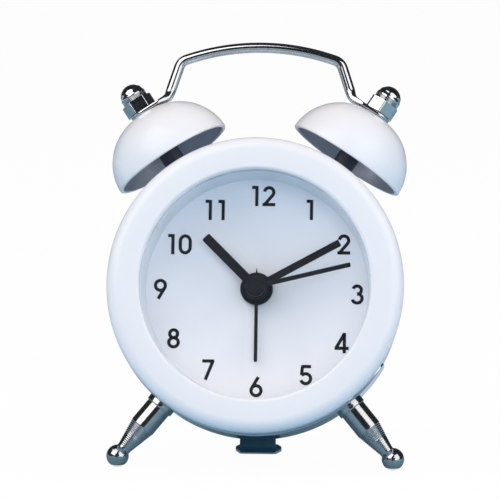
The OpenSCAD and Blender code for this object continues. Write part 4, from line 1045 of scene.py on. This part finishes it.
def add_camera(scene, level):
    """The camera as it was fitted to the photograph; its shift is a share of the picture's width."""
    lens = bpy.data.cameras.new("photo_camera")
    lens.sensor_width = 36.0
    lens.lens = level.focal
    lens.shift_x, lens.shift_y = -0.014914, 0.010024
    a, e, r = level.azimuth, level.elevation, level.roll
    ahead = np.array([-np.sin(a) * np.cos(e), np.cos(a) * np.cos(e), -np.sin(e)])
    right = np.array([np.cos(a), np.sin(a), 0.0])
    up = np.cross(right, ahead)
    camera = bpy.data.objects.new("photo_camera", lens)
    camera.matrix_world = placed(AIM - ahead * level.distance, np.cos(r) * right + np.sin(r) * up,
                                 -np.sin(r) * right + np.cos(r) * up, -ahead)
    scene.collection.objects.link(camera)
    scene.camera = camera


class CLOCK_OT_stage(Operator):
    """Sets up the floor, the lamps, the cards that shape reflections, and the camera"""
    bl_idname = "clock.stage"
    bl_label = "Studio"

    def execute(self, context):
        scene, level, colours = context.scene, context.scene.clock_studio, context.scene.clock_colours
        scene.view_settings.view_transform = "Standard"
        stage_plane("floor", (0, 0.6, -0.0002), (3.0, 0, 0), (0, 3.0, 0), floor_finish(colours.floor, colours.bounce))
        studio_world(scene, level.ambient)
        add_lamp("key_lamp", (-0.42, -0.45, 0.62), level.key_power, 0.8, (1.0, 0.98, 0.97), in_gloss=True)
        add_lamp("fill_lamp", (0.15, -0.8, 0.18), level.fill_power, 0.6, (0.985, 0.985, 1.0))
        add_lamp("right_lamp", (0.6, -0.12, 0.3), level.right_power, 0.4, (0.98, 0.98, 1.0))
        add_lamp("left_lamp", (-0.6, -0.05, 0.22), level.left_power, 0.4, (0.97, 0.98, 1.0))
        add_lamp("top_lamp", (0.15, -0.05, 0.85), level.top_power, 0.6, (1.0, 0.97, 0.99))
        dark = moulded_finish("dark_card", colours.card, (0.8, 0.9), 1e-6, scale=300.0)
        blue = moulded_finish("blue_card", colours.table, (0.8, 0.9), 1e-6, scale=300.0)
        light = glowing_finish("light_card", (1.0, 1.0, 1.0), level.card_light)
        pale = glowing_finish("pale_card", colours.behind, 1.0)
        # only shiny surfaces see the cards: name, centre, two half sides and finish
        cards = [
            ("card_front", (-0.25, -1.1, 0.55), (0.65, 0, 0), (0, 0, 0.55), dark),
            ("card_left", (-1.0, -0.1, 0.55), (0, 1.0, 0), (0, 0, 0.55), dark),
            ("card_top", (0.2, -0.2, 1.1), (1.1, 0, 0), (0, 1.1, 0), dark),
            ("card_back", (0, 0.7, 1.0), (1.6, 0, 0), (0, 0, 1.0), dark),
            ("card_right", (0.9, 0.2, 0.55), (0, 0.6, 0), (0, 0, 0.55), dark),
            ("card_low", (0.1, 0, 0.0006), (0.6, 0, 0), (0, 0.6, 0), blue),
            ("card_light", (0.58, -0.49, 0.55), (0.24, 0.28, 0), (0, 0, 0.45), light),
            ("card_behind", (0.01, 0.14, 0.0008), (0.09, 0, 0), (0, 0.11, 0), pale),
        ]
        for card in cards:
            plane = stage_plane(*card)
            plane.visible_camera = False
            plane.visible_diffuse = False
            plane.visible_transmission = False
            plane.visible_shadow = False
        add_camera(scene, level)
        return {"FINISHED"}


PIECES = (CLOCK_OT_case, CLOCK_OT_window, CLOCK_OT_dial, CLOCK_OT_hands, CLOCK_OT_bells, CLOCK_OT_cap_nuts,
          CLOCK_OT_handle, CLOCK_OT_legs, CLOCK_OT_rear_foot, CLOCK_OT_knobs, CLOCK_OT_screws, CLOCK_OT_kept_nodes,
          CLOCK_OT_stage)


class CLOCK_PT_panel(Panel):
    """Lists the clock's pieces"""
    bl_idname = "CLOCK_PT_panel"
    bl_label = "Twin Bell Clock"
    bl_space_type = "VIEW_3D"
    bl_region_type = "UI"
    bl_category = "Clock"

    def draw(self, context):
        for piece in PIECES:
            self.layout.operator(piece.bl_idname)


GROUPS = {"clock_sizes": ClockSizes, "clock_colours": ClockColours, "clock_studio": StudioLevels}


def register():
    for group in (*GROUPS.values(), *PIECES, CLOCK_PT_panel):
        bpy.utils.register_class(group)
    for name, group in GROUPS.items():
        setattr(bpy.types.Scene, name, PointerProperty(type=group))


def unregister():
    for name in GROUPS:
        delattr(bpy.types.Scene, name)
    for group in (CLOCK_PT_panel, *PIECES, *GROUPS.values()):
        bpy.utils.unregister_class(group)


def main():
    register()
    bpy.ops.clock.case()
    bpy.ops.clock.window()
    bpy.ops.clock.dial()
    bpy.ops.clock.hands()
    bpy.ops.clock.bells()
    bpy.ops.clock.cap_nuts()
    bpy.ops.clock.handle()
    bpy.ops.clock.legs()
    bpy.ops.clock.rear_foot()
    bpy.ops.clock.knobs()
    bpy.ops.clock.screws()
    bpy.ops.clock.kept_nodes()
    bpy.ops.clock.stage()


if __name__ == "__main__":
    main()
